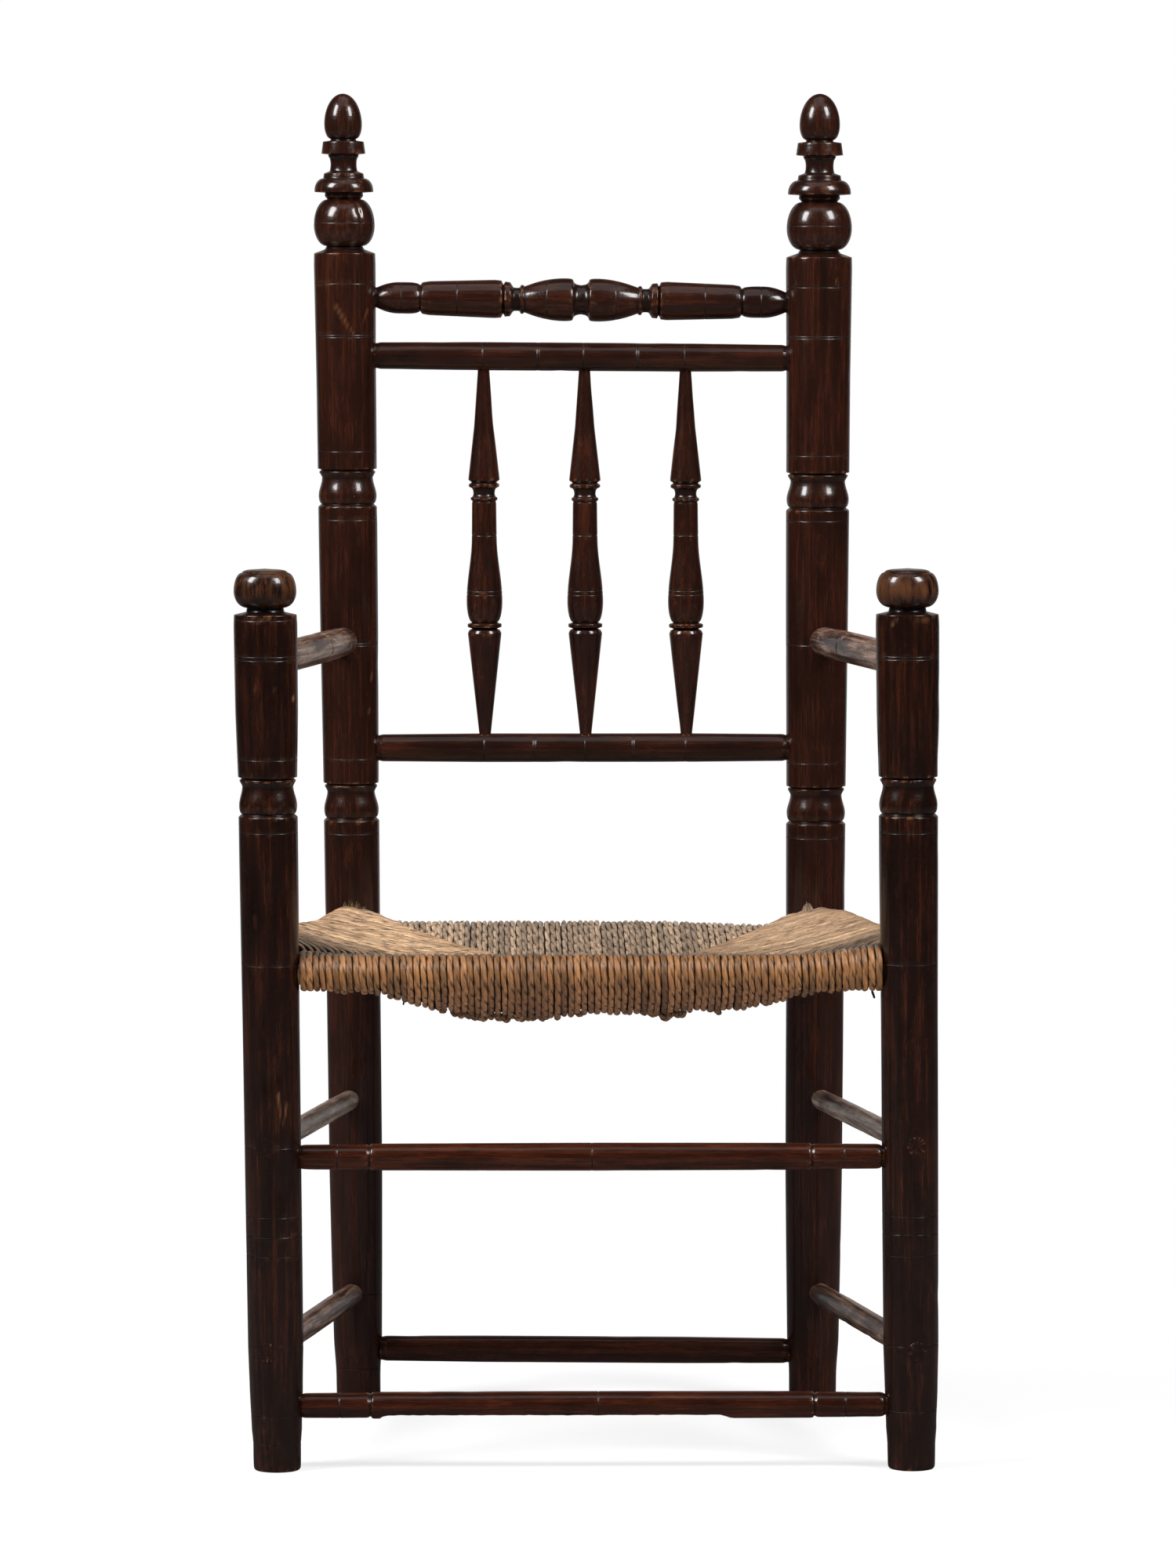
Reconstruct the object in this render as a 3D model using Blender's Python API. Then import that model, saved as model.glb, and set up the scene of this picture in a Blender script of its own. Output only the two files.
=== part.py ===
"""A turned great chair: four turned posts, a back of three spindles under a decorated crest rail,
two arms, round stretchers and a rush seat.

Every round rail ends in a round tenon that sits in a bored mortise, and no pin or nail holds it.
Lengths are in metres, +Z is up, the chair faces -Y and stands on z = 0, centred over the origin.
"""
import math

import bmesh
import bpy
from mathutils import Matrix, Vector

# Plan of the frame, between the axes of the posts
FRONT_WIDTH = 0.530
REAR_WIDTH = 0.3981
SEAT_DEPTH = 0.340
REAR_SPREAD = 0.0136            # how much wider the rear posts stand at the shoulder than at the floor
FRONT_RACK = 0.0055             # how far the front pair leans to the left, up to its shoulder
REAR_RACK = 0.0032              # and the rear pair, up to its own
FRONT_FEET_SHIFT = 0.0049       # feet of the front pair to the right of the middle
REAR_FEET_SHIFT = 0.0031
SPINDLE_SPACING = 0.0877
SPINDLE_SHIFT = 0.0019          # middle spindle to the right of the rails' middle

# Heights of the rails' axes above the floor, at the left end of those that run across
SEAT_RAIL_HEIGHT = 0.4145       # front seat rail
FRONT_UPPER_STRETCHER_HEIGHT = 0.2612
FRONT_LOWER_STRETCHER_HEIGHT = 0.0535
REAR_STRETCHER_HEIGHT = 0.0505
SIDE_UPPER_STRETCHER_HEIGHT = 0.272
SIDE_LOWER_STRETCHER_HEIGHT = 0.101

# Steps from one height to the next
REAR_SEAT_RAIL_DROP = 0.0037    # rear seat rail under the front one
SIDE_RAIL_RISE = 0.0125         # side seat rails over the front one
ARM_RISE = 0.2575               # arm over the front seat rail
GRIP_SHOULDER_RISE = 0.0394     # shoulder of the front post over the arm
GRIP_HEIGHT = 0.0380
FRONT_RING_DROP = 0.1112        # middle of the front post's ring group under the arm
LOWER_RAIL_RISE = 0.1634        # lower spindle rail over the front seat rail
BACK_SPAN = 0.3416              # from the lower spindle rail to the upper one
CREST_RISE = 0.0504             # crest rail over the upper spindle rail
SHOULDER_RISE = 0.0379          # shoulder of the rear post over the crest rail
FINIAL_HEIGHT = 0.1380
REAR_RING_DROP = 0.0465         # middle of the lower ring group under the lower spindle rail
REAR_RING_RISE = 0.2268         # middle of the upper ring group over the lower spindle rail
RING_GROUP_LENGTH = 0.033

# How far the right end lies below the left one, where the turner or the joiner was not exact
CREST_DROP = 0.0050
UPPER_RAIL_DROP = 0.0028
REAR_STRETCHER_DROP = 0.0032
REAR_RIGHT_MARKS_DROP = 0.0035  # rings and shoulder of the right rear post

# Radii of the turnings, each at its fullest
FRONT_POST_RADIUS = 0.02635
REAR_LEFT_POST_RADIUS = 0.0269
REAR_RIGHT_POST_RADIUS = 0.0288
CREST_RADIUS = 0.0187
UPPER_RAIL_RADIUS = 0.0125
LOWER_RAIL_RADIUS = 0.0127
SPINDLE_RADIUS = 0.0158
ARM_RADIUS = 0.0135
SEAT_RAIL_RADIUS = 0.0110
FRONT_STRETCHER_RADIUS = 0.0117
REAR_STRETCHER_RADIUS = 0.0118
SIDE_UPPER_STRETCHER_RADIUS = 0.0093
SIDE_LOWER_STRETCHER_RADIUS = 0.0102

# Joints
TENON_RADIUS = 0.0080
SPINDLE_TENON_RADIUS = 0.0045
SPINDLE_TENON_LENGTH = 0.0120
TENON_WALL = 0.0018             # from a blind tenon's end to the side of one that crosses its post
TENON_SETBACK = 0.0008          # a through tenon's end, short of the post's surface
FIT_GAP = 0.0003
CUT_OVERRUN = 0.0040            # how far a cutter runs out past the surface that it cuts
MERGE_DISTANCE = 0.000003       # points closer than this are one point

# Lower front stretcher: a long splinter is gone from its underside
SPLIT_DEPTH = 0.0047
SPLIT_LEFT = 0.176
SPLIT_RIGHT = 0.117

# Rush seat
RUSH_WRAP = 0.0045              # thickness of the rush round a rail
SEAT_SAG = 0.019                # top of the middle under the wrapped top of the front rail
SAG_POWER = 1.3                 # how much steeper the top falls next to the rails than in the middle
SEAT_BELLY = 0.037              # how deep the middle of the underside hangs below the rails' own
BELLY_START = 0.032             # way in from a rail over which it would hang that deep, if it went straight
BELLY_BESIDE = 0.120            # way from the nearest post's line over which it grows to its full depth
BELLY_POWER = 2.2
BELLY_SIDE_SHARE = 1.4          # how much sooner it grows beside the front and rear rails than the side ones
SEAM_REACH_SHARE = 0.88         # way in from a side rail at the ridge's end, against that from the front

# Facets
POST_SIDES = 16
RAIL_SIDES = 14
SPINDLE_SIDES = 10
CREASE_ANGLE = 35               # degrees; edges sharper than this stay crisp
CURVE_STEP = 0.0050
FEWEST_CURVE_STEPS = 2
MOST_CURVE_STEPS = 4

# Each row of a turning is one cut: its kind, its share of the turning's length and the radius that
# it ends on, as a share of the turning's radius. The shares of length are scaled to fill the length.
RING_GROUP_SHARES = (
    ("taper", 3, 0.88), ("ease", 9, 0.975), ("ogee", 21, 0.86), ("taper", 4, 0.945),
    ("taper", 2, 0.945), ("taper", 2, 0.915), ("taper", 1.5, 1.0),
)
FRONT_FOOT_SHARES = (
    ("taper", 3, 0.73), ("taper", 33, 0.76), ("taper", 20, 0.80), ("taper", 60, 0.845),
    ("taper", 45, 0.875), ("taper", 415, 0.90), ("taper", 200, 0.928), ("taper", 59, 0.932),
)
FRONT_SHAFT_SHARES = (("taper", 80, 0.985), ("taper", 110, 1.0), ("taper", 14, 0.985))
GRIP_SHARES = (
    ("taper", 4, 0.60), ("taper", 5, 0.575), ("ease", 20, 0.98), ("roll", 23, 0.72),
    ("taper", 4, 0.40), ("taper", 1.5, 0.0),
)
REAR_FOOT_SHARES = (
    ("taper", 3, 0.70), ("taper", 32, 0.72), ("taper", 60, 0.79), ("taper", 100, 0.828),
    ("taper", 100, 0.86), ("taper", 220, 0.877), ("taper", 232, 0.90),
)
REAR_WAIST_SHARES = (("taper", 90, 0.917), ("taper", 100, 0.938), ("taper", 160, 0.956))
REAR_NECK_SHARES = (("taper", 120, 0.966), ("taper", 140, 1.0), ("taper", 14, 0.99))
FINIAL_SHARES = (
    ("taper", 5, 0.64), ("taper", 4, 0.58), ("ease", 26, 0.985), ("roll", 32, 0.535),
    ("taper", 4, 0.625), ("taper", 4, 0.61), ("taper", 1, 0.95), ("taper", 2, 0.95),
    ("roll", 15, 0.66), ("taper", 6, 0.64), ("taper", 2.5, 0.47), ("ease", 9, 0.42),
    ("roll", 9, 0.485), ("taper", 3, 0.49), ("taper", 1, 0.71), ("taper", 15, 0.66),
    ("taper", 1.5, 0.41), ("taper", 2, 0.41), ("ease", 18, 0.61), ("roll", 38, 0.0),
)
FOOT_EDGE_SHARE = 0.69          # radius of every foot's underside, before its edge swells out
CREST_WAIST_SHARE = 0.68        # radius of the crest rail's middle cove
CREST_HALF_SHARES = (
    ("roll", 11, 0.95), ("ease", 9, 1.0), ("bow", 51, 0.61), ("taper", 1.5, 0.675),
    ("taper", 3, 0.675), ("taper", 1.5, 0.555), ("taper", 8, 0.55), ("taper", 4, 0.80),
    ("taper", 6.5, 0.825), ("taper", 2, 0.67), ("taper", 2.5, 0.87),
    ("taper", 8, 0.895), ("taper", 82, 0.795), ("taper", 9, 0.74), ("taper", 3, 0.60),
    ("ease", 14, 0.735), ("taper", 12, 0.735), ("bow", 28, 0.48),
)
SPINDLE_FOOT_SHARE = 0.325
SPINDLE_SHARES = (
    ("taper", 126, 0.93), ("taper", 4, 0.86), ("taper", 2, 0.68), ("taper", 2, 0.94),
    ("taper", 4, 0.94), ("taper", 2, 0.68), ("ease", 26, 0.99), ("ogee", 82, 0.69),
    ("taper", 42, 0.66), ("taper", 3, 0.63), ("taper", 2, 0.76), ("taper", 3, 0.76),
    ("roll", 8, 0.58), ("taper", 3, 0.62), ("taper", 2, 0.83), ("taper", 3, 0.83),
    ("taper", 3, 0.69), ("taper", 2, 0.87), ("taper", 68, 0.535), ("taper", 69, 0.32),
)
PLAIN_END_SHARE = 0.87
PLAIN_RAIL_SHARES = (("taper", 2, 0.93), ("taper", 120, 1.0), ("taper", 120, 0.93), ("taper", 2, 0.87))
STEPPED_END_SHARE = 0.80
STEPPED_RAIL_SHARES = (
    ("taper", 3, 0.87), ("taper", 85, 0.90), ("taper", 3, 0.97), ("taper", 280, 1.0),
    ("taper", 280, 0.97), ("taper", 3, 0.90), ("taper", 85, 0.87), ("taper", 3, 0.80),
)
SEAM_SHARE = 0.03               # half the width of a seam, at each end of a panel's edge
SEAT_TOP_SHARES = (1.0, 0.8, 0.6, 0.42, 0.26, 0.12)
SEAT_ROLL_SHARES = (0.0, 0.17, 0.33, 0.5, 0.67, 0.83, 1.0)
SEAT_ROLL_UPPER_SHARE = 0.5     # part of the roll over which the wrap keeps its own round form
SEAT_BELLY_SHARES = (0.05, 0.12, 0.21, 0.34, 0.52, 0.75, 1.0)
SEAT_EDGE_POINTS = 8

# Heights and places that follow from the sizes above
REAR_SEAT_RAIL_HEIGHT = SEAT_RAIL_HEIGHT - REAR_SEAT_RAIL_DROP
SIDE_RAIL_HEIGHT = SEAT_RAIL_HEIGHT + SIDE_RAIL_RISE
ARM_HEIGHT = SEAT_RAIL_HEIGHT + ARM_RISE
FRONT_SHOULDER_HEIGHT = ARM_HEIGHT + GRIP_SHOULDER_RISE
LOWER_RAIL_HEIGHT = SEAT_RAIL_HEIGHT + LOWER_RAIL_RISE
UPPER_RAIL_HEIGHT = LOWER_RAIL_HEIGHT + BACK_SPAN
CREST_HEIGHT = UPPER_RAIL_HEIGHT + CREST_RISE
REAR_SHOULDER_HEIGHT = CREST_HEIGHT + SHOULDER_RISE
WIDEST_REAR_RADIUS = max(REAR_LEFT_POST_RADIUS, REAR_RIGHT_POST_RADIUS)
FRONT_Y = (FRONT_POST_RADIUS - WIDEST_REAR_RADIUS - SEAT_DEPTH) / 2
REAR_Y = FRONT_Y + SEAT_DEPTH
WRAP_RADIUS = SEAT_RAIL_RADIUS + RUSH_WRAP

# A cut's curve: how far along its length and through its change of radius it is, at a part s of its way
CURVES = {
    "taper": lambda s: (s, s),
    "ease": lambda s: (1 - math.cos(s * math.pi / 2), math.sin(s * math.pi / 2)),
    "roll": lambda s: (math.sin(s * math.pi / 2), 1 - math.cos(s * math.pi / 2)),
    "bow": lambda s: (s, s * s),
    "ogee": lambda s: (s, (1 - math.cos(s * math.pi)) / 2),
}


class Outline:
    """The outline of a turned piece, drawn along its axis from one end to the other.

    An ease leaves square to the axis and ends level with it, a roll does the reverse, a bow leaves
    level and falls ever faster, and an ogee is level at both ends.
    """

    def __init__(self, place, radius):
        self.points = [(place, 0.0), (place, radius)]

    def step_to(self, radius):
        """Steps square across to another radius."""
        self.points.append((self.points[-1][0], radius))

    def cut(self, kind, length, radius):
        place, start = self.points[-1]
        count = 1
        if kind != "taper":
            size = math.hypot(length, radius - start)
            count = min(max(round(size / CURVE_STEP), FEWEST_CURVE_STEPS), MOST_CURVE_STEPS)
        for step in range(1, count + 1):
            forth, across = CURVES[kind](step / count)
            self.points.append((place + length * forth, start + (radius - start) * across))

    def cuts(self, rows, length, radius):
        """A table of cuts, scaled to fill the length."""
        whole = sum(share for kind, share, radius_share in rows)
        for kind, share, radius_share in rows:
            self.cut(kind, length * share / whole, radius * radius_share)

    def close(self):
        if self.points[-1][1] > 0:
            self.step_to(0.0)

    def radius_at(self, place):
        """Radius on the straight line between the two points beside the place."""
        for (low, low_radius), (high, high_radius) in zip(self.points, self.points[1:]):
            if low <= place <= high and high > low:
                return low_radius + (high_radius - low_radius) * (place - low) / (high - low)
        return 0.0

    def widest(self, low, high):
        """Largest radius between two places."""
        inside = [radius for place, radius in self.points if low < place < high]
        return max(inside + [self.radius_at(low), self.radius_at(high)])


def rod(start, end, radius):
    """Outline of a plain round rod."""
    outline = Outline(start, radius)
    outline.cut("taper", end - start, radius)
    outline.close()
    return outline


def turn(outline, sides, lean=0.0):
    """Mesh of an outline turned about Z. A lean carries each ring sideways by its height."""
    mesh = bmesh.new()
    corners = [mesh.verts.new((radius, 0, place)) for place, radius in outline.points]
    edges = [mesh.edges.new(pair) for pair in zip(corners, corners[1:])]
    bmesh.ops.spin(mesh, geom=corners + edges, cent=(0, 0, 0), axis=(0, 0, 1),
                   angle=math.tau, steps=sides, use_merge=True)
    bmesh.ops.remove_doubles(mesh, verts=mesh.verts, dist=MERGE_DISTANCE)
    bmesh.ops.recalc_face_normals(mesh, faces=mesh.faces)
    for corner in mesh.verts:
        corner.co.x += lean * corner.co.z
    return mesh


def finish(name, colour, roughness):
    """One material for one piece."""
    material = bpy.data.materials.new(name + "_finish")
    material.use_nodes = True
    shader = material.node_tree.nodes["Principled BSDF"]
    shader.inputs["Base Color"].default_value = (*colour, 1)
    shader.inputs["Roughness"].default_value = roughness
    shader.inputs["Metallic"].default_value = 0
    return material


DARK_WOOD = ((0.060, 0.022, 0.014), 0.32)
WORN_WOOD = ((0.110, 0.062, 0.040), 0.42)
BARE_WOOD = ((0.250, 0.170, 0.100), 0.70)
RUSH = ((0.420, 0.290, 0.170), 0.75)


def add_object(name, mesh, place):
    data = bpy.data.meshes.new(name)
    mesh.to_mesh(data)
    mesh.free()
    piece = bpy.data.objects.new(name, data)
    bpy.context.scene.collection.objects.link(piece)
    piece.matrix_world = place
    return piece


def add_piece(name, mesh, place, look):
    """A piece of the chair, shaded smooth with its crisp turnings kept, and hung on the chair's empty."""
    piece = add_object(name, mesh, place)
    piece.data.shade_smooth()
    piece.data.set_sharp_from_angle(angle=math.radians(CREASE_ANGLE))
    piece.data.materials.append(finish(name, *look))
    piece.parent = bpy.data.objects["chair"]
    return piece


def cut_away(piece, name, mesh, place):
    """Takes a cutter's shape out of a piece. The cutter stays in the scene as a wire."""
    cutter = add_object(name + "_cutter", mesh, place)
    cutter.hide_render = True
    cutter.display_type = "WIRE"
    boolean = piece.modifiers.new(name, "BOOLEAN")
    boolean.operation = "DIFFERENCE"
    boolean.solver = "EXACT"
    boolean.object = cutter


class Post:
    """A turned upright: its piece, its outline, and where its axis stands at each height."""

    def __init__(self, name, foot, lean, outline):
        self.name = name
        self.foot = foot
        self.lean = lean
        self.outline = outline
        place = Matrix.Translation(foot)
        self.piece = add_piece(name, turn(outline, POST_SIDES, lean), place, DARK_WOOD)

    def axis(self, height):
        return self.foot + Vector((self.lean * height, 0, height))

    def reach(self, height, half_width):
        """How far the post's surface stands from its axis beside a rail of that half width."""
        surface = self.outline.widest(height - half_width, height + half_width)
        return surface + abs(self.lean) * half_width


def post_outline(radius, foot_rows, shafts, top_rows, top_height):
    """Foot and lower shaft, then each ring group with the shaft over it, then the top.

    A shaft is the place of its ring group's middle, its rows, and the height that it ends on.
    """
    outline = Outline(0, radius * FOOT_EDGE_SHARE)
    outline.cuts(foot_rows, shafts[0][0] - RING_GROUP_LENGTH / 2, radius)
    for middle, rows, end in shafts:
        outline.cuts(RING_GROUP_SHARES, RING_GROUP_LENGTH, outline.points[-1][1])
        start = middle + RING_GROUP_LENGTH / 2
        outline.cuts(rows, end - start, radius)
    outline.cuts(top_rows, top_height, radius)
    outline.close()
    return outline


def front_post(name, side):
    ring = ARM_HEIGHT - FRONT_RING_DROP
    shafts = ((ring, FRONT_SHAFT_SHARES, FRONT_SHOULDER_HEIGHT),)
    outline = post_outline(FRONT_POST_RADIUS, FRONT_FOOT_SHARES, shafts, GRIP_SHARES, GRIP_HEIGHT)
    foot = Vector((FRONT_FEET_SHIFT + side * FRONT_WIDTH / 2, FRONT_Y, 0))
    return Post(name, foot, -FRONT_RACK / FRONT_SHOULDER_HEIGHT, outline)


def rear_post(name, side, radius, drop):
    """A rear post, its finial turned in one with it. The drop lowers its rings and its shoulder."""
    lower_ring = LOWER_RAIL_HEIGHT - REAR_RING_DROP - drop
    upper_ring = LOWER_RAIL_HEIGHT + REAR_RING_RISE - drop
    shafts = (
        (lower_ring, REAR_WAIST_SHARES, upper_ring - RING_GROUP_LENGTH / 2),
        (upper_ring, REAR_NECK_SHARES, REAR_SHOULDER_HEIGHT - drop),
    )
    outline = post_outline(radius, REAR_FOOT_SHARES, shafts, FINIAL_SHARES, FINIAL_HEIGHT + drop)
    foot = Vector((REAR_FEET_SHIFT + side * REAR_WIDTH / 2, REAR_Y, 0))
    return Post(name, foot, (side * REAR_SPREAD / 2 - REAR_RACK) / REAR_SHOULDER_HEIGHT, outline)


def along(start, end):
    """Place at the start, with Z towards the end and X level."""
    forward = (end - start).normalized()
    level = Vector((0, 0, 1)).cross(forward)
    if level.length == 0:
        level = Vector((1, 0, 0))
    level.normalize()
    up = forward.cross(level)
    turned = Matrix((level, up, forward)).transposed().to_4x4()
    return Matrix.Translation(start) @ turned


class Rail:
    """A round rail between two posts, tenoned into both.

    Its outline runs from the first post's axis. The body stands clear of both posts' surfaces,
    and each tenon runs on until a wall is left to whatever crosses the post.
    """

    def __init__(self, name, posts, height, radius, body, look=DARK_WOOD, through=False, drop=0.0):
        self.name = name
        first, last = posts
        start, end = first.axis(height), last.axis(height - drop)
        self.length = (end - start).length
        clear = FIT_GAP + radius * drop / self.length
        self.shoulders = (first.reach(height, radius) + clear,
                          self.length - last.reach(height - drop, radius) - clear)
        core = TENON_RADIUS + TENON_WALL
        self.tips = (core, self.length - core)
        if through:
            self.tips = (TENON_SETBACK - first.reach(height, TENON_RADIUS), self.length - core)
        self.place = along(start, end)
        self.outline = Outline(self.tips[0], TENON_RADIUS)
        self.outline.cut("taper", self.shoulders[0] - self.tips[0], TENON_RADIUS)
        body(self.outline, self.shoulders[1] - self.shoulders[0], radius)
        self.outline.step_to(TENON_RADIUS)
        self.outline.cut("taper", self.tips[1] - self.shoulders[1], TENON_RADIUS)
        self.outline.close()
        self.piece = add_piece(name, turn(self.outline, RAIL_SIDES), self.place, look)
        hole = TENON_RADIUS + FIT_GAP
        near = self.tips[0] - (CUT_OVERRUN if through else FIT_GAP)
        mortises = ((first, near, self.shoulders[0] + CUT_OVERRUN),
                    (last, self.shoulders[1] - CUT_OVERRUN, self.tips[1] + FIT_GAP))
        for post, low, high in mortises:
            cut_away(post.piece, name + "_mortise", turn(rod(low, high, hole), RAIL_SIDES), self.place)

    def spot(self, offset):
        """Point on the rail's axis, so far to the right of its middle."""
        return self.place @ Vector((0, 0, self.length / 2 + offset))


def plain_body(outline, length, radius):
    """A round stick, fullest in its middle, with its ends eased down to the tenons."""
    outline.step_to(radius * PLAIN_END_SHARE)
    outline.cuts(PLAIN_RAIL_SHARES, length, radius)


def stepped_body(outline, length, radius):
    """A stretcher whose end sections are turned slimmer than its middle."""
    outline.step_to(radius * STEPPED_END_SHARE)
    outline.cuts(STEPPED_RAIL_SHARES, length, radius)


def crest_body(outline, length, radius):
    """A cove in the middle, and on each side of it a vase, two rings, a barrel and a knob."""
    half = Outline(0, radius * CREST_WAIST_SHARE)
    half.cuts(CREST_HALF_SHARES, length / 2, radius)
    middle = outline.points[-1][0] + length / 2
    profile = half.points[1:]
    outline.points.extend((middle - place, width) for place, width in reversed(profile))
    outline.points.extend((middle + place, width) for place, width in profile[1:])


def add_spindle(name, offset, lower, upper):
    """A spindle between two rails, with a small tenon bored into each of them."""
    start, end = lower.spot(offset), upper.spot(offset)
    length = (end - start).length
    surfaces = []
    for rail in (lower, upper):
        middle = rail.length / 2 + offset
        surfaces.append(rail.outline.widest(middle - SPINDLE_RADIUS, middle + SPINDLE_RADIUS))
    low, high = surfaces[0] + FIT_GAP, length - surfaces[1] - FIT_GAP
    tips = (surfaces[0] - SPINDLE_TENON_LENGTH, length - surfaces[1] + SPINDLE_TENON_LENGTH)
    outline = Outline(tips[0], SPINDLE_TENON_RADIUS)
    outline.cut("taper", low - tips[0], SPINDLE_TENON_RADIUS)
    outline.step_to(SPINDLE_RADIUS * SPINDLE_FOOT_SHARE)
    outline.cuts(SPINDLE_SHARES, high - low, SPINDLE_RADIUS)
    outline.step_to(SPINDLE_TENON_RADIUS)
    outline.cut("taper", tips[1] - high, SPINDLE_TENON_RADIUS)
    outline.close()
    place = along(start, end)
    add_piece(name, turn(outline, SPINDLE_SIDES), place, DARK_WOOD)
    hole = SPINDLE_TENON_RADIUS + FIT_GAP
    holes = ((lower, tips[0] - FIT_GAP, low + CUT_OVERRUN), (upper, high - CUT_OVERRUN, tips[1] + FIT_GAP))
    for rail, bottom, top in holes:
        cut_away(rail.piece, name + "_mortise", turn(rod(bottom, top, hole), SPINDLE_SIDES), place)


def split_underside(stretcher):
    """Cuts the missing splinter from a front stretcher."""
    start = stretcher.place.translation
    top = start.z - FRONT_STRETCHER_RADIUS + SPLIT_DEPTH
    bottom = start.z - FRONT_STRETCHER_RADIUS - CUT_OVERRUN
    mesh = bmesh.new()
    bmesh.ops.create_cube(mesh, size=1)
    size = (SPLIT_LEFT + SPLIT_RIGHT, 2 * (FRONT_STRETCHER_RADIUS + CUT_OVERRUN), top - bottom)
    bmesh.ops.scale(mesh, verts=mesh.verts, vec=size)
    middle_x = stretcher.spot((SPLIT_RIGHT - SPLIT_LEFT) / 2).x
    middle = Vector((middle_x, start.y, (top + bottom) / 2))
    cut_away(stretcher.piece, "splinter", mesh, Matrix.Translation(middle))


def seat_corners(inset, sides):
    """Corners of the seat's outline, set in from the seat rails' axes.

    They run front left, front right, rear right, rear left. Inside the rails the way in from the
    sides is the shorter one, and outside them all are alike.
    """
    across = inset * SEAM_REACH_SHARE if inset > 0 else inset
    pairs = []
    for sign, (front, rear) in zip((1, -1), sides):
        slope = (rear.x - front.x) / (rear.y - front.y)
        aside = sign * across * math.hypot(1, slope)
        ends = (front.y + inset, rear.y - inset)
        pairs.append([(front.x + slope * (y - front.y) + aside, y) for y in ends])
    (front_left, rear_left), (front_right, rear_right) = pairs
    return [front_left, front_right, rear_right, rear_left]


def hanging_height(axis, beside, inset):
    """Height of the seat's underside, so far in from a rail and beside the nearest post's line.

    It leaves the wrapped rail level with the slope at which the belly starts, and sinks towards
    the belly's depth as a falling exponential. Further out than that it is the wrap's own height.
    """
    depth = SEAT_BELLY * (1 - math.exp(-(max(beside, 0) / BELLY_BESIDE) ** BELLY_POWER))
    slope = math.atan2(depth, BELLY_START)
    gone = inset + WRAP_RADIUS * math.sin(slope)
    if gone < 0:
        return axis - math.sqrt(max(WRAP_RADIUS ** 2 - inset ** 2, 0))
    return axis - WRAP_RADIUS * math.cos(slope) - depth * (1 - math.exp(-gone / BELLY_START))


def add_rush_seat(sides, rails):
    """The woven seat as one pillow of four panels.

    Each ring of points lies one distance in from the rails, so its corners run along the seams
    from the posts to the ends of the middle ridge. Over the top the rings sag to the ridge, round
    the rails they roll, and under the seat they belly down over the stuffing.
    """
    side_lines = [[post.axis(SIDE_RAIL_HEIGHT) for post in posts] for posts in sides]
    ridge_inset = SEAT_DEPTH / 2
    ridge_top = SEAT_RAIL_HEIGHT + WRAP_RADIUS - SEAT_SAG
    rings = []
    for part in SEAT_TOP_SHARES:
        rings.append((ridge_inset * part, lambda axis, beside, inset, part=part:
                      ridge_top + (axis + WRAP_RADIUS - ridge_top) * (1 - part) ** SAG_POWER))
    for part in SEAT_ROLL_SHARES:
        height = hanging_height
        if part < SEAT_ROLL_UPPER_SHARE:
            height = lambda axis, beside, inset, part=part: axis + WRAP_RADIUS * math.cos(math.pi * part)
        rings.append((-WRAP_RADIUS * math.sin(math.pi * part), height))
    ridge_bottom = hanging_height(SEAT_RAIL_HEIGHT, SEAT_DEPTH, ridge_inset)
    for part in SEAT_BELLY_SHARES:
        rings.append((ridge_inset * part, lambda axis, beside, inset, settled=part * part:
                      hanging_height(axis, beside, inset) * (1 - settled) + ridge_bottom * settled))

    mesh = bmesh.new()
    loops = []
    outer = seat_corners(0, side_lines)
    axes = (SEAT_RAIL_HEIGHT, SIDE_RAIL_HEIGHT, REAR_SEAT_RAIL_HEIGHT, SIDE_RAIL_HEIGHT)
    for inset, height in rings:
        corners = seat_corners(inset, side_lines)
        loop = []
        for edge, (x, y) in enumerate(corners):
            next_x, next_y = corners[(edge + 1) % len(corners)]
            from_x, from_y = outer[edge]
            to_x, to_y = outer[(edge + 1) % len(corners)]
            span = math.hypot(to_x - from_x, to_y - from_y)
            for step in range(SEAT_EDGE_POINTS):
                part = SEAM_SHARE + (1 - 2 * SEAM_SHARE) * step / (SEAT_EDGE_POINTS - 1)
                spot_x, spot_y = x + (next_x - x) * part, y + (next_y - y) * part
                way = ((spot_x - from_x) * (to_x - from_x) + (spot_y - from_y) * (to_y - from_y)) / span
                beside = min(way, span - way) * (BELLY_SIDE_SHARE if edge % 2 else 1)
                loop.append(mesh.verts.new((spot_x, spot_y, height(axes[edge], beside, inset))))
        loops.append(loop)
    for upper, lower in zip(loops, loops[1:]):
        for here in range(len(upper)):
            there = (here + 1) % len(upper)
            mesh.faces.new((upper[here], lower[here], lower[there], upper[there]))
    bmesh.ops.remove_doubles(mesh, verts=mesh.verts, dist=MERGE_DISTANCE)
    bmesh.ops.recalc_face_normals(mesh, faces=mesh.faces)
    seat = add_piece("rush_seat", mesh, Matrix.Identity(4), RUSH)

    low = SEAT_RAIL_HEIGHT - WRAP_RADIUS - SEAT_BELLY - CUT_OVERRUN
    high = SIDE_RAIL_HEIGHT + WRAP_RADIUS + CUT_OVERRUN
    for post in (*sides[0], *sides[1]):
        notch = Outline(low, post.outline.radius_at(low) + FIT_GAP)
        notch.cut("taper", high - low, post.outline.radius_at(high) + FIT_GAP)
        notch.close()
        mesh = turn(notch, POST_SIDES, post.lean)
        cut_away(seat, post.name + "_notch", mesh, Matrix.Translation(post.foot))
    for rail in rails:
        tunnel = rod(0, rail.length, SEAT_RAIL_RADIUS + FIT_GAP)
        cut_away(seat, rail.name + "_tunnel", turn(tunnel, RAIL_SIDES), rail.place)


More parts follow.
